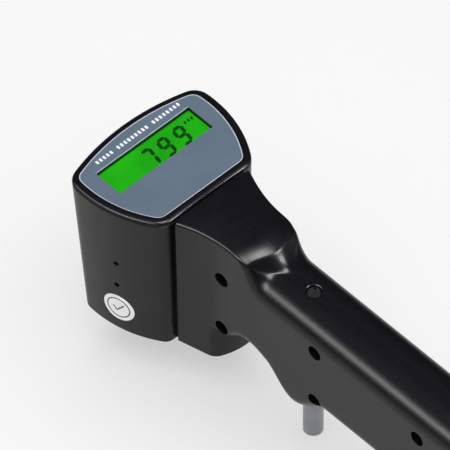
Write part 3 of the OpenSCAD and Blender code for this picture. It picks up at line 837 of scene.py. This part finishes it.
@dataclass
class Casing:
    """The two moulded halves: head, neck, grip and the deep block behind the head.

    Attributes:
        sizes: The casing's sizes.
        paint: Hands out the materials.
        flush: How much a solid stays inside the one that it runs flush with.
        seam: Half the gap between the two halves.
        seat_x: Depth of the screws' seats from the seam.
        counterbore_r: Radius of the screws' counterbores.
        block_arc: Radius of the block's rear face in plan.
        block_corner: Half length over which the block's rear corners are rounded.
        crest_bow: How far ahead the crest over the grip lies at the shoulders than in the middle.
        line_depth: Depth of the shadow line under the head's rim.
        edge_lift: Height of the neck's upper edges over the label.
        edge_bulge: Their further rise behind the head.
        edge_sag: Their fall towards the grip.
        nose_hole_r: Radius of the hole for the nose foot.
        leg_hole_r: Radius of the hole for the leg.
        spindle_r: Radius of the hole over the spindle.
        spindle_top_r: Radius to which that hole widens over the grip's top.
        access_r: Radius of the adjusters' access holes.
        button_hole_r: Radius of the hole for the button.
    """

    sizes: CasingSizes
    paint: Paint
    flush: float = 0.012
    seam: float = 0.05
    seat_x: float = 5.5
    counterbore_r: float = 3.25
    block_arc: float = 28.0
    block_corner: float = 2.6
    crest_bow: float = 3.7
    line_depth: float = 0.35
    edge_lift: float = 0.45
    edge_bulge: float = 0.13
    edge_sag: float = 0.25
    nose_hole_r: float = 8.3
    leg_hole_r: float = 4.3
    spindle_r: float = 3.05
    spindle_top_r: float = 6.35
    access_r: float = 1.1
    button_hole_r: float = 4.8

    # -------------------------------------------------------------- head

    def head_solid(self, inset: float) -> bpy.types.Object:
        """The head, or its cavity.

        Args:
            inset: 0 for the outside, the wall's thickness for the cavity.

        Returns:
            The solid.
        """
        s, head = self.sizes, self.sizes.head
        foot_r = 1.2
        slide = s.front_draft - s.side_draft
        low, high = s.head_clear + inset, s.rim_z - s.rim_round
        rings = [head.grown(-inset - s.side_draft - foot_r * side).ring(low + foot_r * up, slide)
                 for up, side in quarter(4)[::-1]]
        if inset > 0:
            rings.append(head.grown(-inset).ring(s.ceiling_z))
            return solid("head_cavity", rings)
        levels, first, line_w = 12, low + foot_r, 0.55
        for k in range(1, levels + 1):
            share = k / levels * (high - line_w - first) / (high - first)
            rings.append(head.grown(-s.side_draft * (1 - share)).ring(first + (high - first) * share,
                                                                      slide * (1 - share)))
        rings += [head.grown(-self.line_depth).ring(high - line_w * share) for share in (0.75, 0.1)]
        rings.append(head.ring(high))
        rings += [head.grown(-s.rim_round * side).ring(s.rim_z - s.rim_round * up)
                  for up, side in quarter(9)[1:]]
        lip = 0.3
        inner = s.label.grown(lip + 0.05)
        top = head.grown(-s.rim_round)
        rings += [top.blended(inner, share).ring(s.rim_z) for share in (0.4, 0.8, 1.0)]
        rings += [inner.grown(-lip * (1 - up)).ring(s.rim_z - lip * (1 - side))
                  for up, side in quarter(4)[1:]]
        rings.append(s.label.grown(0.05).ring(s.label_z - s.label_t))
        return solid("head", rings)

    # -------------------------------------------------------------- neck and grip

    def upper_half(self, d: float) -> float:
        """Half width along the upper edge at the distance d back."""
        s = self.sizes
        waist = s.grip_half + 0.45
        if d < s.waist_back:
            return waist + (s.neck_half - waist) * ((s.waist_back - d) / (s.waist_back - s.neck_start)) ** 2
        return waist + (s.grip_half - waist) * smooth((d - s.waist_back) / 16)

    def half_at(self, d: float, z: float) -> float:
        """Half width at the distance d back and the height z."""
        s = self.sizes
        upper = self.upper_half(d)
        foot = upper
        if d < s.waist_back:
            foot = max(s.neck_half - s.foot_draft - 0.26 * (d - s.neck_start), s.grip_half + 0.45)
        top = s.label_z + s.neck_edge
        return upper + (top - z) / (top - s.head_clear) * (foot - upper)

    def underside(self, d: float) -> float:
        """Height of the grip's underside, with the arch for the finger and the leg's bulge."""
        s = self.sizes
        bulge = s.leg_back + 1.5
        reach = 14 if d < bulge else 17
        return s.grip_bottom + 4 * bump((d - s.neck_start - 33.1) / 14) - 10 * bump((d - bulge) / reach)

    def top_at(self, d: float, share: float) -> float:
        """Height of the top.

        Args:
            d: Distance back.
            share: Place across, from 0 in the middle to 1 at the shoulder.

        Returns:
            The height there.
        """
        s = self.sizes
        edge = (s.label_z + self.edge_lift + self.edge_bulge * bump((d - s.neck_start - 6.5) / 8)
                - self.edge_sag * smooth((d - s.neck_start - 12) / 14))
        neck = edge + s.crown * (1 - share * share)
        past = d - (s.neck_end + 0.9 - self.crest_bow * share * share)
        fall = 0.72 * max(0.0, 1 - past / 8.5) ** 2
        if past < 3:
            brow = 1 - 0.28 * (max(0.0, past + 9) / 9) ** 2
            fall = soft_min(brow, fall, 0.05)
        return s.grip_top + (neck - s.grip_top) * fall

    def section(self, d: float, inset: float) -> np.ndarray:
        """One closed cross-section of neck and grip.

        Args:
            d: Distance back.
            inset: How far it is drawn in.

        Returns:
            Its points.
        """
        s = self.sizes
        flat_r = s.edge_r + (s.shoulder_r - s.edge_r) * smooth((d - s.neck_end + 3.3) / 11)
        deep_r = s.edge_r + (s.shoulder_r - s.edge_r) * smooth((d - s.neck_end + 7.3) / 8)
        flat_r, deep_r = max(0.3, flat_r - inset), max(0.3, deep_r - inset)
        belly = s.block_belly_r + (s.belly_r - s.block_belly_r) * smooth((d - s.block_rear) / 9)
        belly = max(0.3, belly - inset)
        low = self.underside(d) + inset
        shoulder = self.top_at(d, 1) - inset
        lower_half = self.half_at(d, low + belly) - inset
        upper_half = self.half_at(d, shoulder - deep_r) - inset
        left = [(-(lower_half - belly) * k / 4, low) for k in range(4)]
        left += [(-(lower_half - belly) - belly * math.sin(a), low + belly - belly * math.cos(a))
                 for a in np.linspace(0, math.pi / 2, 10)]
        left += [(-lower_half + (lower_half - upper_half) * k / 7,
                  low + belly + (shoulder - deep_r - low - belly) * k / 7) for k in range(1, 7)]
        inner = upper_half - flat_r
        left += [(-inner - flat_r * math.cos(a), shoulder - deep_r + deep_r * math.sin(a))
                 for a in np.linspace(0, math.pi / 2, 12)]
        left += [(-inner * (1 - k / 10), self.top_at(d, 1 - k / 10) - inset) for k in range(1, 11)]
        full = left + [(-x, z) for x, z in left[-2:0:-1]]
        return np.array([(x, -d, z) for x, z in full])

    def grip_solid(self, inset: float) -> bpy.types.Object:
        """Neck and grip, or their cavity.

        Args:
            inset: 0 for the outside, the wall's thickness for the cavity.

        Returns:
            The solid.
        """
        s = self.sizes
        first, last = s.neck_start + inset, s.grip_reach - inset
        fine_from, fine_to, coarse_from = s.neck_end - 8, s.neck_end + 10, s.leg_back + 20
        stops = np.concatenate([
            np.arange(first + s.front_edge_r, fine_from, 1.2 if inset == 0 else 4.0),
            np.arange(fine_from, fine_to, 0.35 if inset == 0 else 2.0),
            np.arange(fine_to, coarse_from, 1.5 if inset == 0 else 4.0),
            np.linspace(coarse_from, last - s.end_r, 16),
        ])
        rings = [self.section(d, inset) for d in stops]
        if inset == 0:
            front = [self.section(first + s.front_edge_r * (1 - math.cos(a)),
                                  s.front_edge_r * (1 - math.sin(a)))
                     for a in np.linspace(0, math.pi / 2, 5)[:-1]]
            rear = [self.section(last - s.end_r * (1 - math.sin(a)), s.end_r * (1 - math.cos(a)))
                    for a in np.linspace(0, math.pi / 2, 9)[1:]]
            rings = front + rings + rear
        else:
            rings = [self.section(first, inset)] + rings + [self.section(last, inset)]
        return solid("grip", rings)

    # -------------------------------------------------------------- block

    def block_plan(self, z: float, inset: float) -> np.ndarray:
        """The deep block's plan outline at one height.

        Args:
            z: The height.
            inset: How far it is drawn in.

        Returns:
            A closed ring.
        """
        s = self.sizes
        radius = self.block_arc - inset
        centre_y = self.block_arc - s.block_rear
        first = s.neck_start + self.flush + inset
        round_r = s.front_edge_r

        def side(d: float) -> np.ndarray:
            """A point on the left side at the distance d back."""
            return np.array([-(self.half_at(d, z) - self.flush - inset), -d])

        def rear(x: float) -> np.ndarray:
            """A point on the rear face at the place x across."""
            return np.array([x, centre_y - math.sqrt(radius ** 2 - x * x)])

        corner_d = s.block_rear - 4
        for _ in range(8):
            corner_d = -rear(side(corner_d)[0])[1]
        corner = side(corner_d)
        before, after = side(corner_d - self.block_corner), rear(corner[0] + self.block_corner)
        front_x = side(first)[0]
        left = [(0.0, -first), (front_x + round_r, -first)]
        left += [(front_x + round_r * (1 - math.sin(a)), -first - round_r * (1 - math.cos(a)))
                 for a in np.linspace(0, math.pi / 2, 5)[1:-1]]
        left += [tuple(side(d)) for d in np.linspace(first + round_r, corner_d - self.block_corner, 18)]
        for u in np.linspace(0, 1, 9)[1:]:
            left.append(tuple((1 - u) ** 2 * before + 2 * u * (1 - u) * corner + u * u * after))
        left += [tuple(rear(x)) for x in np.linspace(after[0], 0, 9)[1:]]
        full = left + [(-x, y) for x, y in left[-2:0:-1]]
        return np.array([(x, y, z) for x, y in full])

    def block_solid(self, inset: float) -> bpy.types.Object:
        """The deep block, or its cavity.

        Args:
            inset: 0 for the outside, the wall's thickness for the cavity.

        Returns:
            The solid.
        """
        s = self.sizes
        low, high, foot_r = s.head_clear + inset, s.grip_bottom + 12, 0.7
        rings = [self.block_plan(low + foot_r * (1 - math.sin(a)), inset + foot_r * (1 - math.cos(a)))
                 for a in np.linspace(math.pi / 2, 0, 5)]
        rings += [self.block_plan(z, inset) for z in np.linspace(low + foot_r, high, 5)[1:]]
        return solid("block", rings)

    # -------------------------------------------------------------- whole

    def bridge_solid(self, inset: float) -> bpy.types.Object:
        """The bridge at the bottom of the groove that joins head and neck."""
        s = self.sizes
        half = s.neck_half - s.groove_d - inset
        lap = 0.8 + inset
        return block("bridge", (-half, -s.neck_start - lap, s.head_clear + s.groove_d + inset),
                     (half, -s.head.rear + lap, s.label_z + s.neck_edge - s.groove_d - inset))

    def body_solid(self, inset: float) -> bpy.types.Object:
        """Head, bridge, neck, grip and block as one solid.

        Args:
            inset: 0 for the outside, the wall's thickness for the cavity.

        Returns:
            The solid.
        """
        whole = self.head_solid(inset)
        for part in (self.bridge_solid(inset), self.grip_solid(inset), self.block_solid(inset)):
            combine(whole, part, Join.ADD)
        return whole

    def openings(self) -> bpy.types.Object:
        """What is cut from both halves: window, nose hole, leg hole, spindle recess, battery door."""
        s = self.sizes
        nose_low, nose_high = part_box("plunger_guide")
        nose_back = BENCH.back_of((nose_low.y + nose_high.y) / 2)
        door_low, door_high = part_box("battery_door")
        door_half, play = 9.6, 0.3
        door_front = BENCH.back_of(door_high.y) - play
        return merged("openings", [
            block("window", (-s.window_w / 2, -s.window_d, s.ceiling_z - 1),
                  (s.window_w / 2, 0, s.label_z + 2)),
            turned("nose_hole", Axis.Z, (0, -nose_back),
                   [(s.head_clear - 1, self.nose_hole_r), (s.head_clear + s.wall + 1, self.nose_hole_r)]),
            turned("leg_hole", Axis.Z, (0, -s.leg_back),
                   [(5, self.leg_hole_r), (s.grip_bottom + 8, self.leg_hole_r)]),
            turned("spindle_hole", Axis.Z, (0, -s.leg_back),
                   [(s.grip_top - 9, self.spindle_r), (s.grip_top - 0.3, self.spindle_r),
                    (s.grip_top + 3, self.spindle_top_r)]),
            block("door", (-door_half, -s.grip_reach - 1, s.grip_bottom - 1),
                  (door_half, -door_front, s.grip_bottom + 5)),
        ])

    def left_holes(self) -> bpy.types.Object:
        """What is cut from the left half: screw counterbores and the adjusters' access holes."""
        s = self.sizes
        out, bore = -s.neck_half - 3, 1.6
        steps = [(out, self.counterbore_r), (-self.seat_x, self.counterbore_r),
                 (-self.seat_x, bore), (1, bore)]
        holes = [turned("counterbore", Axis.X, (-d, z), steps) for d, z in s.screws]
        reach = s.head.half + 2
        for node in ("zero_screw", "span_screw"):
            low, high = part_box(node)
            spot = (-BENCH.back_of((low.y + high.y) / 2), BENCH.height_of((low.z + high.z) / 2))
            holes.append(turned("access", Axis.X, spot,
                                [(-reach, self.access_r), (-reach + 14, self.access_r)], steps=32))
        return merged("left_holes", holes)

    def right_holes(self) -> bpy.types.Object:
        """What is cut from the right half: blind screw bores and the button's hole."""
        s = self.sizes
        bore, depth = 1.4, s.grip_half - 4.5
        holes = [turned("bore", Axis.X, (-d, z), [(-1, bore), (depth, bore)], steps=32) for d, z in s.screws]
        low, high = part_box("power_button")
        spot = (-BENCH.back_of((low.y + high.y) / 2), BENCH.height_of((low.z + high.z) / 2))
        holes.append(turned("button_hole", Axis.X, spot, [(s.head.half - 12, self.button_hole_r),
                                                          (s.head.half + 3, self.button_hole_r)]))
        return merged("right_holes", holes)

    def build(self) -> list[bpy.types.Object]:
        """Makes both halves and dresses them.

        Returns:
            The left and the right half.
        """
        s = self.sizes
        whole = self.body_solid(0)
        cavity = self.body_solid(s.wall)
        bosses = merged("bosses", [turned("boss", Axis.X, (-d, z), [(-40, s.boss_r), (40, s.boss_r)])
                                   for d, z in s.screws])
        combine(cavity, bosses, Join.CUT)
        combine(whole, cavity, Join.CUT)
        combine(whole, self.openings(), Join.CUT)
        halves = []
        reach = (60, 60, 260)
        sides = (("left_shell", -1, self.left_holes()), ("right_shell", 1, self.right_holes()))
        for name, sign, holes in sides:
            half = new_object("casing_" + name, whole.data.copy())
            ends = sorted([sign * self.seam, sign * reach[0]])
            side = block("side", (ends[0], -reach[2], -5), (ends[1], reach[1], s.rim_z + 9))
            combine(half, side, Join.KEEP)
            combine(half, holes, Join.CUT)
            shade(half)
            halves.append(settle(half, "housing", self.paint.of(Finishes.casing), [name]))
        bpy.data.objects.remove(whole)
        return halves

    def side_x(self, d: float, z: float) -> float:
        """Place of the head's left side at the distance d back and the height z."""
        s = self.sizes
        lean = clip01((s.rim_z - z) / (s.rim_z - s.head_clear))
        back = d - s.label.widest - lean * (s.front_draft - s.side_draft)
        radius = s.label.side_arc + s.rim_side - lean * s.side_draft
        return -(s.label.half - s.label.side_arc + math.sqrt(radius ** 2 - back ** 2))


# ------------------------------------------------------------------ label and sticker

@dataclass
class FaceLabel:
    """The printed overlay round the display window.

    Attributes:
        sizes: The casing's sizes.
        paint: Hands out the materials.
        border_w: Width of the pale border along the edge.
        window_line_w: Width of the pale line along the window's front edge.
        print_t: Thickness of the print.
        mark_w: Width of one mark in the row over the window.
        mark_h: Height of the row.
        mark_step: Pitch of the marks.
        mark_start: Place across of the first mark.
        mark_y: Place of the row ahead of the window.
        mark_count: Number of places in the row.
        mark_gaps: The places that stay empty.
        border_gap: Distance of the border from the label's edge.
        line_gap: Distance of the line from the window.
    """

    sizes: CasingSizes
    paint: Paint
    border_w: float = 0.42
    window_line_w: float = 0.3
    print_t: float = 0.012
    mark_w: float = 1.05
    mark_h: float = 1.75
    mark_step: float = 1.84
    mark_start: float = -20.6
    mark_y: float = 2.9
    mark_count: int = 24
    mark_gaps: tuple[int, ...] = (5, 15)
    border_gap: float = 0.12
    line_gap: float = 0.1

    def print_on(self, name: str, outlines: Sequence[np.ndarray]) -> bpy.types.Object:
        """A printed band between two outlines.

        Args:
            name: The piece's name.
            outlines: The outer and the inner closed outline, as plan points.

        Returns:
            The dressed band.
        """
        low, high = self.sizes.label_z - self.print_t, self.sizes.label_z + self.print_t
        outer, inner = outlines
        rings = [np.column_stack([flat[:, :2], np.full(len(flat), z)])
                 for flat, z in ((outer, low), (outer, high), (inner, high), (inner, low))]
        band = solid(name, rings, looped=True)
        return settle(band, "housing", self.paint.of(Finishes.label_border))

    def build(self) -> list[bpy.types.Object]:
        """Makes the plate, its borders and its row of plain marks."""
        s, bevel = self.sizes, 0.08
        edge = s.label
        plate = solid("face_label", [edge.ring(s.label_z - s.label_t), edge.ring(s.label_z - bevel),
                                     edge.grown(-bevel).ring(s.label_z)])
        combine(plate, block("window", (-s.window_w / 2, -s.window_d, s.label_z - 3),
                             (s.window_w / 2, 0, s.label_z + 3)), Join.CUT)
        shade(plate)
        settle(plate, "housing", self.paint.of(Finishes.label), ["label_plate"])
        pieces = [plate]
        pieces.append(self.print_on("label_border", [
            edge.grown(-self.border_gap).ring(0), edge.grown(-self.border_gap - self.border_w).ring(0)]))
        line = self.mark("window_line", (-s.window_w / 2, self.line_gap),
                         (s.window_w / 2, self.line_gap + self.window_line_w))
        pieces.append(settle(line, "housing", self.paint.of(Finishes.label_border)))
        bars = []
        for k in range(self.mark_count):
            if k in self.mark_gaps:
                continue
            left = self.mark_start + k * self.mark_step
            bars.append(self.mark("mark", (left, self.mark_y),
                                  (left + self.mark_w, self.mark_y + self.mark_h)))
        row = merged("label_marks", bars)
        pieces.append(settle(row, "housing", self.paint.of(Finishes.label_print)))
        return pieces

    def mark(self, name: str, low: Sequence[float], high: Sequence[float]) -> bpy.types.Object:
        """One plain printed bar with round corners.

        Args:
            name: The piece's name.
            low: Its lowest corner in plan.
            high: Its highest corner in plan.

        Returns:
            The bar.
        """
        corner, z = min(0.3, (high[1] - low[1]) / 2.5), self.sizes.label_z
        spots = [(high[0] - corner, high[1] - corner), (low[0] + corner, high[1] - corner),
                 (low[0] + corner, low[1] + corner), (high[0] - corner, low[1] + corner)]
        flat = np.concatenate([arc(spot, corner, k * math.pi / 2, (k + 1) * math.pi / 2, 4)
                               for k, spot in enumerate(spots)])
        return solid(name, [np.column_stack([flat, np.full(len(flat), level)])
                            for level in (z - self.print_t, z + self.print_t)])


@dataclass
class Seal:
    """The round sticker on the head's left side, with a plain ring and tick.

    Attributes:
        casing: The casing that it sticks to.
        paint: Hands out the materials.
        radius: The sticker's radius.
        thickness: The film's thickness.
        ink_t: The print's thickness.
        ring_r: Outer radius of the printed ring.
        ring_w: Width of the ring.
        tick_w: Width of the tick's stroke.
        arc_back: Place back of the middle of the head's side arc, on which the sticker lies.
        arc_r: Radius of that arc.
    """

    casing: Casing
    paint: Paint
    radius: float = 7.0
    thickness: float = 0.12
    ink_t: float = 0.03
    ring_r: float = 5.3
    ring_w: float = 0.5
    tick_w: float = 0.6
    arc_back: float = 3.8
    arc_r: float = 53.1

    def __post_init__(self) -> None:
        """Reads the sticker's place off its node."""
        low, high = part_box("round_sticker")
        self.back = BENCH.back_of((low.y + high.y) / 2)
        self.height = BENCH.height_of((low.z + high.z) / 2)

    def spot(self, u: float, v: float, lift: float) -> tuple[float, float, float]:
        """A point on the sticker.

        Args:
            u: Place to the right, seen from outside.
            v: Place upwards.
            lift: Height over the casing.

        Returns:
            The point in the maker's frame.
        """
        lean = math.cos(math.asin((self.back - self.arc_back) / self.arc_r))
        d, z = self.back + u * lean, self.height + v
        return self.casing.side_x(d, z) - lift, -d, z

    def disc_ring(self, radius: float, lift: float) -> np.ndarray:
        """A ring on the sticker at a radius and a height over the casing."""
        return np.array([self.spot(radius * math.cos(a), radius * math.sin(a), lift)
                         for a in np.linspace(0, 2 * math.pi, 72, endpoint=False)])

    def stroke(self, name: str, line: Sequence[tuple[float, float]], width: float) -> bpy.types.Object:
        """A printed stroke along a line of points."""
        lift = (self.thickness - 0.03, self.thickness + self.ink_t)
        pts = np.array(line)
        ahead = np.gradient(pts, axis=0)
        ahead /= np.linalg.norm(ahead, axis=1)[:, None]
        across = np.column_stack([-ahead[:, 1], ahead[:, 0]]) * width / 2
        rings = []
        for p, a in zip(pts, across):
            corners = [(p + a, lift[0]), (p + a, lift[1]), (p - a, lift[1]), (p - a, lift[0])]
            rings.append(np.array([self.spot(q[0], q[1], h) for q, h in corners]))
        return solid(name, rings)

    def build(self) -> list[bpy.types.Object]:
        """Makes the sticker and its print."""
        radii = np.linspace(0.2, self.radius, 8)
        under = [self.disc_ring(r, 0.0) for r in radii]
        over = [self.disc_ring(r - 0.05, self.thickness) for r in radii[::-1]]
        film = shade(solid("seal_film", under + over))
        settle(film, "housing", self.paint.of(Finishes.sticker), ["round_sticker"])
        low, high = self.thickness - self.ink_t, self.thickness + self.ink_t
        outer, inner = self.ring_r, self.ring_r - self.ring_w
        ring = solid("seal_ring", [self.disc_ring(r, h) for r, h in (
            (outer, low), (outer, high), (inner, high), (inner, low))], looped=True)
        start, turn, end = np.array([-2.4, 0.4]), np.array([-0.7, -1.7]), np.array([2.6, 2.3])
        line = [tuple(start + (turn - start) * k / 6) for k in range(7)]
        line += [tuple(turn + (end - turn) * k / 10) for k in range(1, 11)]
        tick = self.stroke("seal_tick", line, self.tick_w)
        ink = self.paint.of(Finishes.sticker_ink)
        return [film] + [settle(piece, "housing", ink) for piece in (ring, tick)]


# ------------------------------------------------------------------ button

@dataclass
class Button:
    """The power button with its stem, its flange and a dished cap.

    Attributes:
        paint: Hands out the materials.
        cap_r: The cap's radius.
        cap_round: Rounding of the cap's edge.
        stem_r: The stem's radius.
        stem_l: The stem's least length.
        flange_t: The flange's thickness.
        flange_depth: Distance of the flange behind the cap's face.
        dish_radii: Radii at which the dish is shaped, the first at its rim.
        dish_depth: Depth of the dish.
    """

    paint: Paint
    cap_r: float = 4.5
    cap_round: float = 0.7
    stem_r: float = 1.5
    stem_l: float = 1.0
    flange_t: float = 1.0
    flange_depth: float = 8.2
    dish_radii: tuple[float, ...] = (3.4, 2.6, 1.8, 1.0, 0.3)
    dish_depth: float = 0.35

    def build(self) -> bpy.types.Object:
        """Makes the button."""
        low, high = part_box("power_button")
        spot = (-BENCH.back_of((low.y + high.y) / 2), BENCH.height_of((low.z + high.z) / 2))
        flange_r = (high.z - low.z) / 2 / MM
        end, switch_side = high.x / MM, low.x / MM
        flange = max(switch_side + self.stem_l, end - self.flange_depth)
        profile = [(switch_side, self.stem_r), (flange, self.stem_r), (flange, flange_r),
                   (flange + self.flange_t, flange_r), (flange + self.flange_t, self.cap_r)]
        profile += [(end - self.cap_round * up, self.cap_r - self.cap_round * side)
                    for up, side in quarter(5)]
        rim_r = self.dish_radii[0]
        profile += [(end - self.dish_depth * (1 - (r / rim_r) ** 2), r) for r in self.dish_radii]
        cap = shade(turned("button_cap", Axis.X, spot, profile))
        return settle(cap, "power_button", self.paint.of(Finishes.button), ["power_button"])


# ------------------------------------------------------------------ stage

@dataclass
class Studio:
    """Camera, lights and floor.

    Attributes:
        azimuth: The camera's azimuth in degrees; 0 looks along +Y.
        elevation: Its elevation in degrees.
        distance: Its distance in metres.
        field: Width of the picture at the target, in metres.
        target: The point at the picture's centre, in the maker's frame.
        floor_r: The floor's radius, in metres.
    """

    paint: Paint
    azimuth: float = -43.5
    elevation: float = 50.0
    distance: float = 7.0
    field: float = 0.1712
    target: tuple[float, float, float] = (-6.12, -52.33, 88.8)
    floor_r: float = 0.34

    def build_camera(self) -> None:
        """Makes the camera."""
        a, e = math.radians(self.azimuth), math.radians(self.elevation)
        back = Vector((math.sin(a) * math.cos(e), -math.cos(a) * math.cos(e), math.sin(e)))
        data = bpy.data.cameras.new("camera")
        data.sensor_width = 36.0
        data.lens = data.sensor_width * self.distance / self.field
        data.clip_start, data.clip_end = 0.5, 20.0
        camera = bpy.data.objects.new("camera", data)
        camera.location = Vector(BENCH.to_frame(np.array(self.target))) + back * self.distance
        camera.rotation_mode = "QUATERNION"
        camera.rotation_quaternion = (-back).to_track_quat("-Z", "Y")
        bpy.context.scene.collection.objects.link(camera)
        bpy.context.scene.camera = camera

    def lamp(self, name: str, direction: Sequence[float], distance: float, size: Sequence[float],
             power: float, mirrored: bool = True) -> None:
        """Hangs one soft box that faces the object.

        Args:
            name: The lamp's name.
            direction: Where it hangs, seen from the object.
            distance: How far away, in metres.
            size: Its width and height in metres.
            power: Its power in watts.
            mirrored: True for a soft box that only shows as a highlight, False for a fill.
        """
        data = bpy.data.lights.new(name, "AREA")
        data.shape, data.size, data.size_y, data.energy = "RECTANGLE", size[0], size[1], power
        lamp = bpy.data.objects.new(name, data)
        towards = Vector(direction).normalized()
        lamp.location = Vector((0, 0, 0.05)) + towards * distance
        lamp.rotation_mode = "QUATERNION"
        lamp.rotation_quaternion = towards.to_track_quat("Z", "Y")
        lamp.visible_glossy, lamp.visible_diffuse = mirrored, not mirrored
        bpy.context.scene.collection.objects.link(lamp)

    def build(self) -> None:
        """Makes floor, lights and the surroundings."""
        edge = arc((0, 0), self.floor_r, 0, 2 * math.pi, 96)
        mesh = bpy.data.meshes.new("floor")
        mesh.from_pydata([(x, y, 0) for x, y in edge], [], [range(len(edge))])
        floor = new_object("floor", mesh)
        mesh.materials.append(self.paint.of(Finishes.floor))
        self.lamp("fill", (0, 0, 1), 1.0, (1.6, 1.6), 27.0, mirrored=False)
        self.lamp("overhead_box", (0.0, -0.28, 0.95), 0.9, (0.42, 0.42), 9.0)
        self.lamp("side_box", (-0.755, 0.466, 0.461), 0.9, (0.8, 0.26), 5.0)
        self.lamp("left_box", (-0.8, -0.06, 0.58), 0.9, (0.5, 0.34), 5.5)
        self.lamp("rear_box", (0.442, -0.766, 0.466), 0.9, (0.35, 0.3), 9.0)
        scene = bpy.context.scene
        scene.view_settings.view_transform = "Standard"
        scene.view_settings.gamma = 0.85
        world = bpy.data.worlds.new("surroundings")
        scene.world = world
        world.use_nodes = True
        nodes, links = world.node_tree.nodes, world.node_tree.links
        nodes.clear()
        path = nodes.new("ShaderNodeLightPath")
        entry = nodes.new("ShaderNodeOutputWorld").inputs["Surface"]
        layers = {"around": 0.4, "mirrored": 0.03, "backdrop": 0.93}
        sky = {}
        for name, strength in layers.items():
            sky[name] = nodes.new("ShaderNodeBackground")
            sky[name].inputs["Color"].default_value = (0.97, 0.98, 1.0, 1)
            sky[name].inputs["Strength"].default_value = strength
        below = sky["around"]
        for ray, name in (("Is Glossy Ray", "mirrored"), ("Is Camera Ray", "backdrop")):
            mix = nodes.new("ShaderNodeMixShader")
            links.new(path.outputs[ray], mix.inputs["Fac"])
            links.new(below.outputs[0], mix.inputs[1])
            links.new(sky[name].outputs[0], mix.inputs[2])
            below = mix
        links.new(below.outputs[0], entry)


# ------------------------------------------------------------------ nodes that stay

@dataclass
class PlainNodes:
    """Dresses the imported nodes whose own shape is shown."""

    paint: Paint

    def build(self) -> None:
        """Gives every shown node the finish of its slot."""
        slots = {part["node"]: part["material_slot"] for part in frame["record"]["subparts"]}
        for name, node in frame["nodes"].items():
            if node.hide_render:
                continue
            node.data.materials.clear()
            finish = Finishes.spindle if name == "leg_screw" else Finishes[slots[name]]
            node.data.materials.append(self.paint.of(finish))
            LOG.info("%s: finish %s", name, slots[name])


def main() -> None:
    """Builds the camera, then every sub-assembly, and reports each piece."""
    logging.basicConfig(level=logging.INFO, format="%(message)s")
    paint = Paint()
    studio = Studio(paint)
    studio.build_camera()
    sizes = CasingSizes.from_frame()
    casing = Casing(sizes, paint)
    casing.build()
    FaceLabel(sizes, paint).build()
    Seal(casing, paint).build()
    Button(paint).build()
    PlainNodes(paint).build()
    studio.build()


if __name__ == "__main__":
    main()
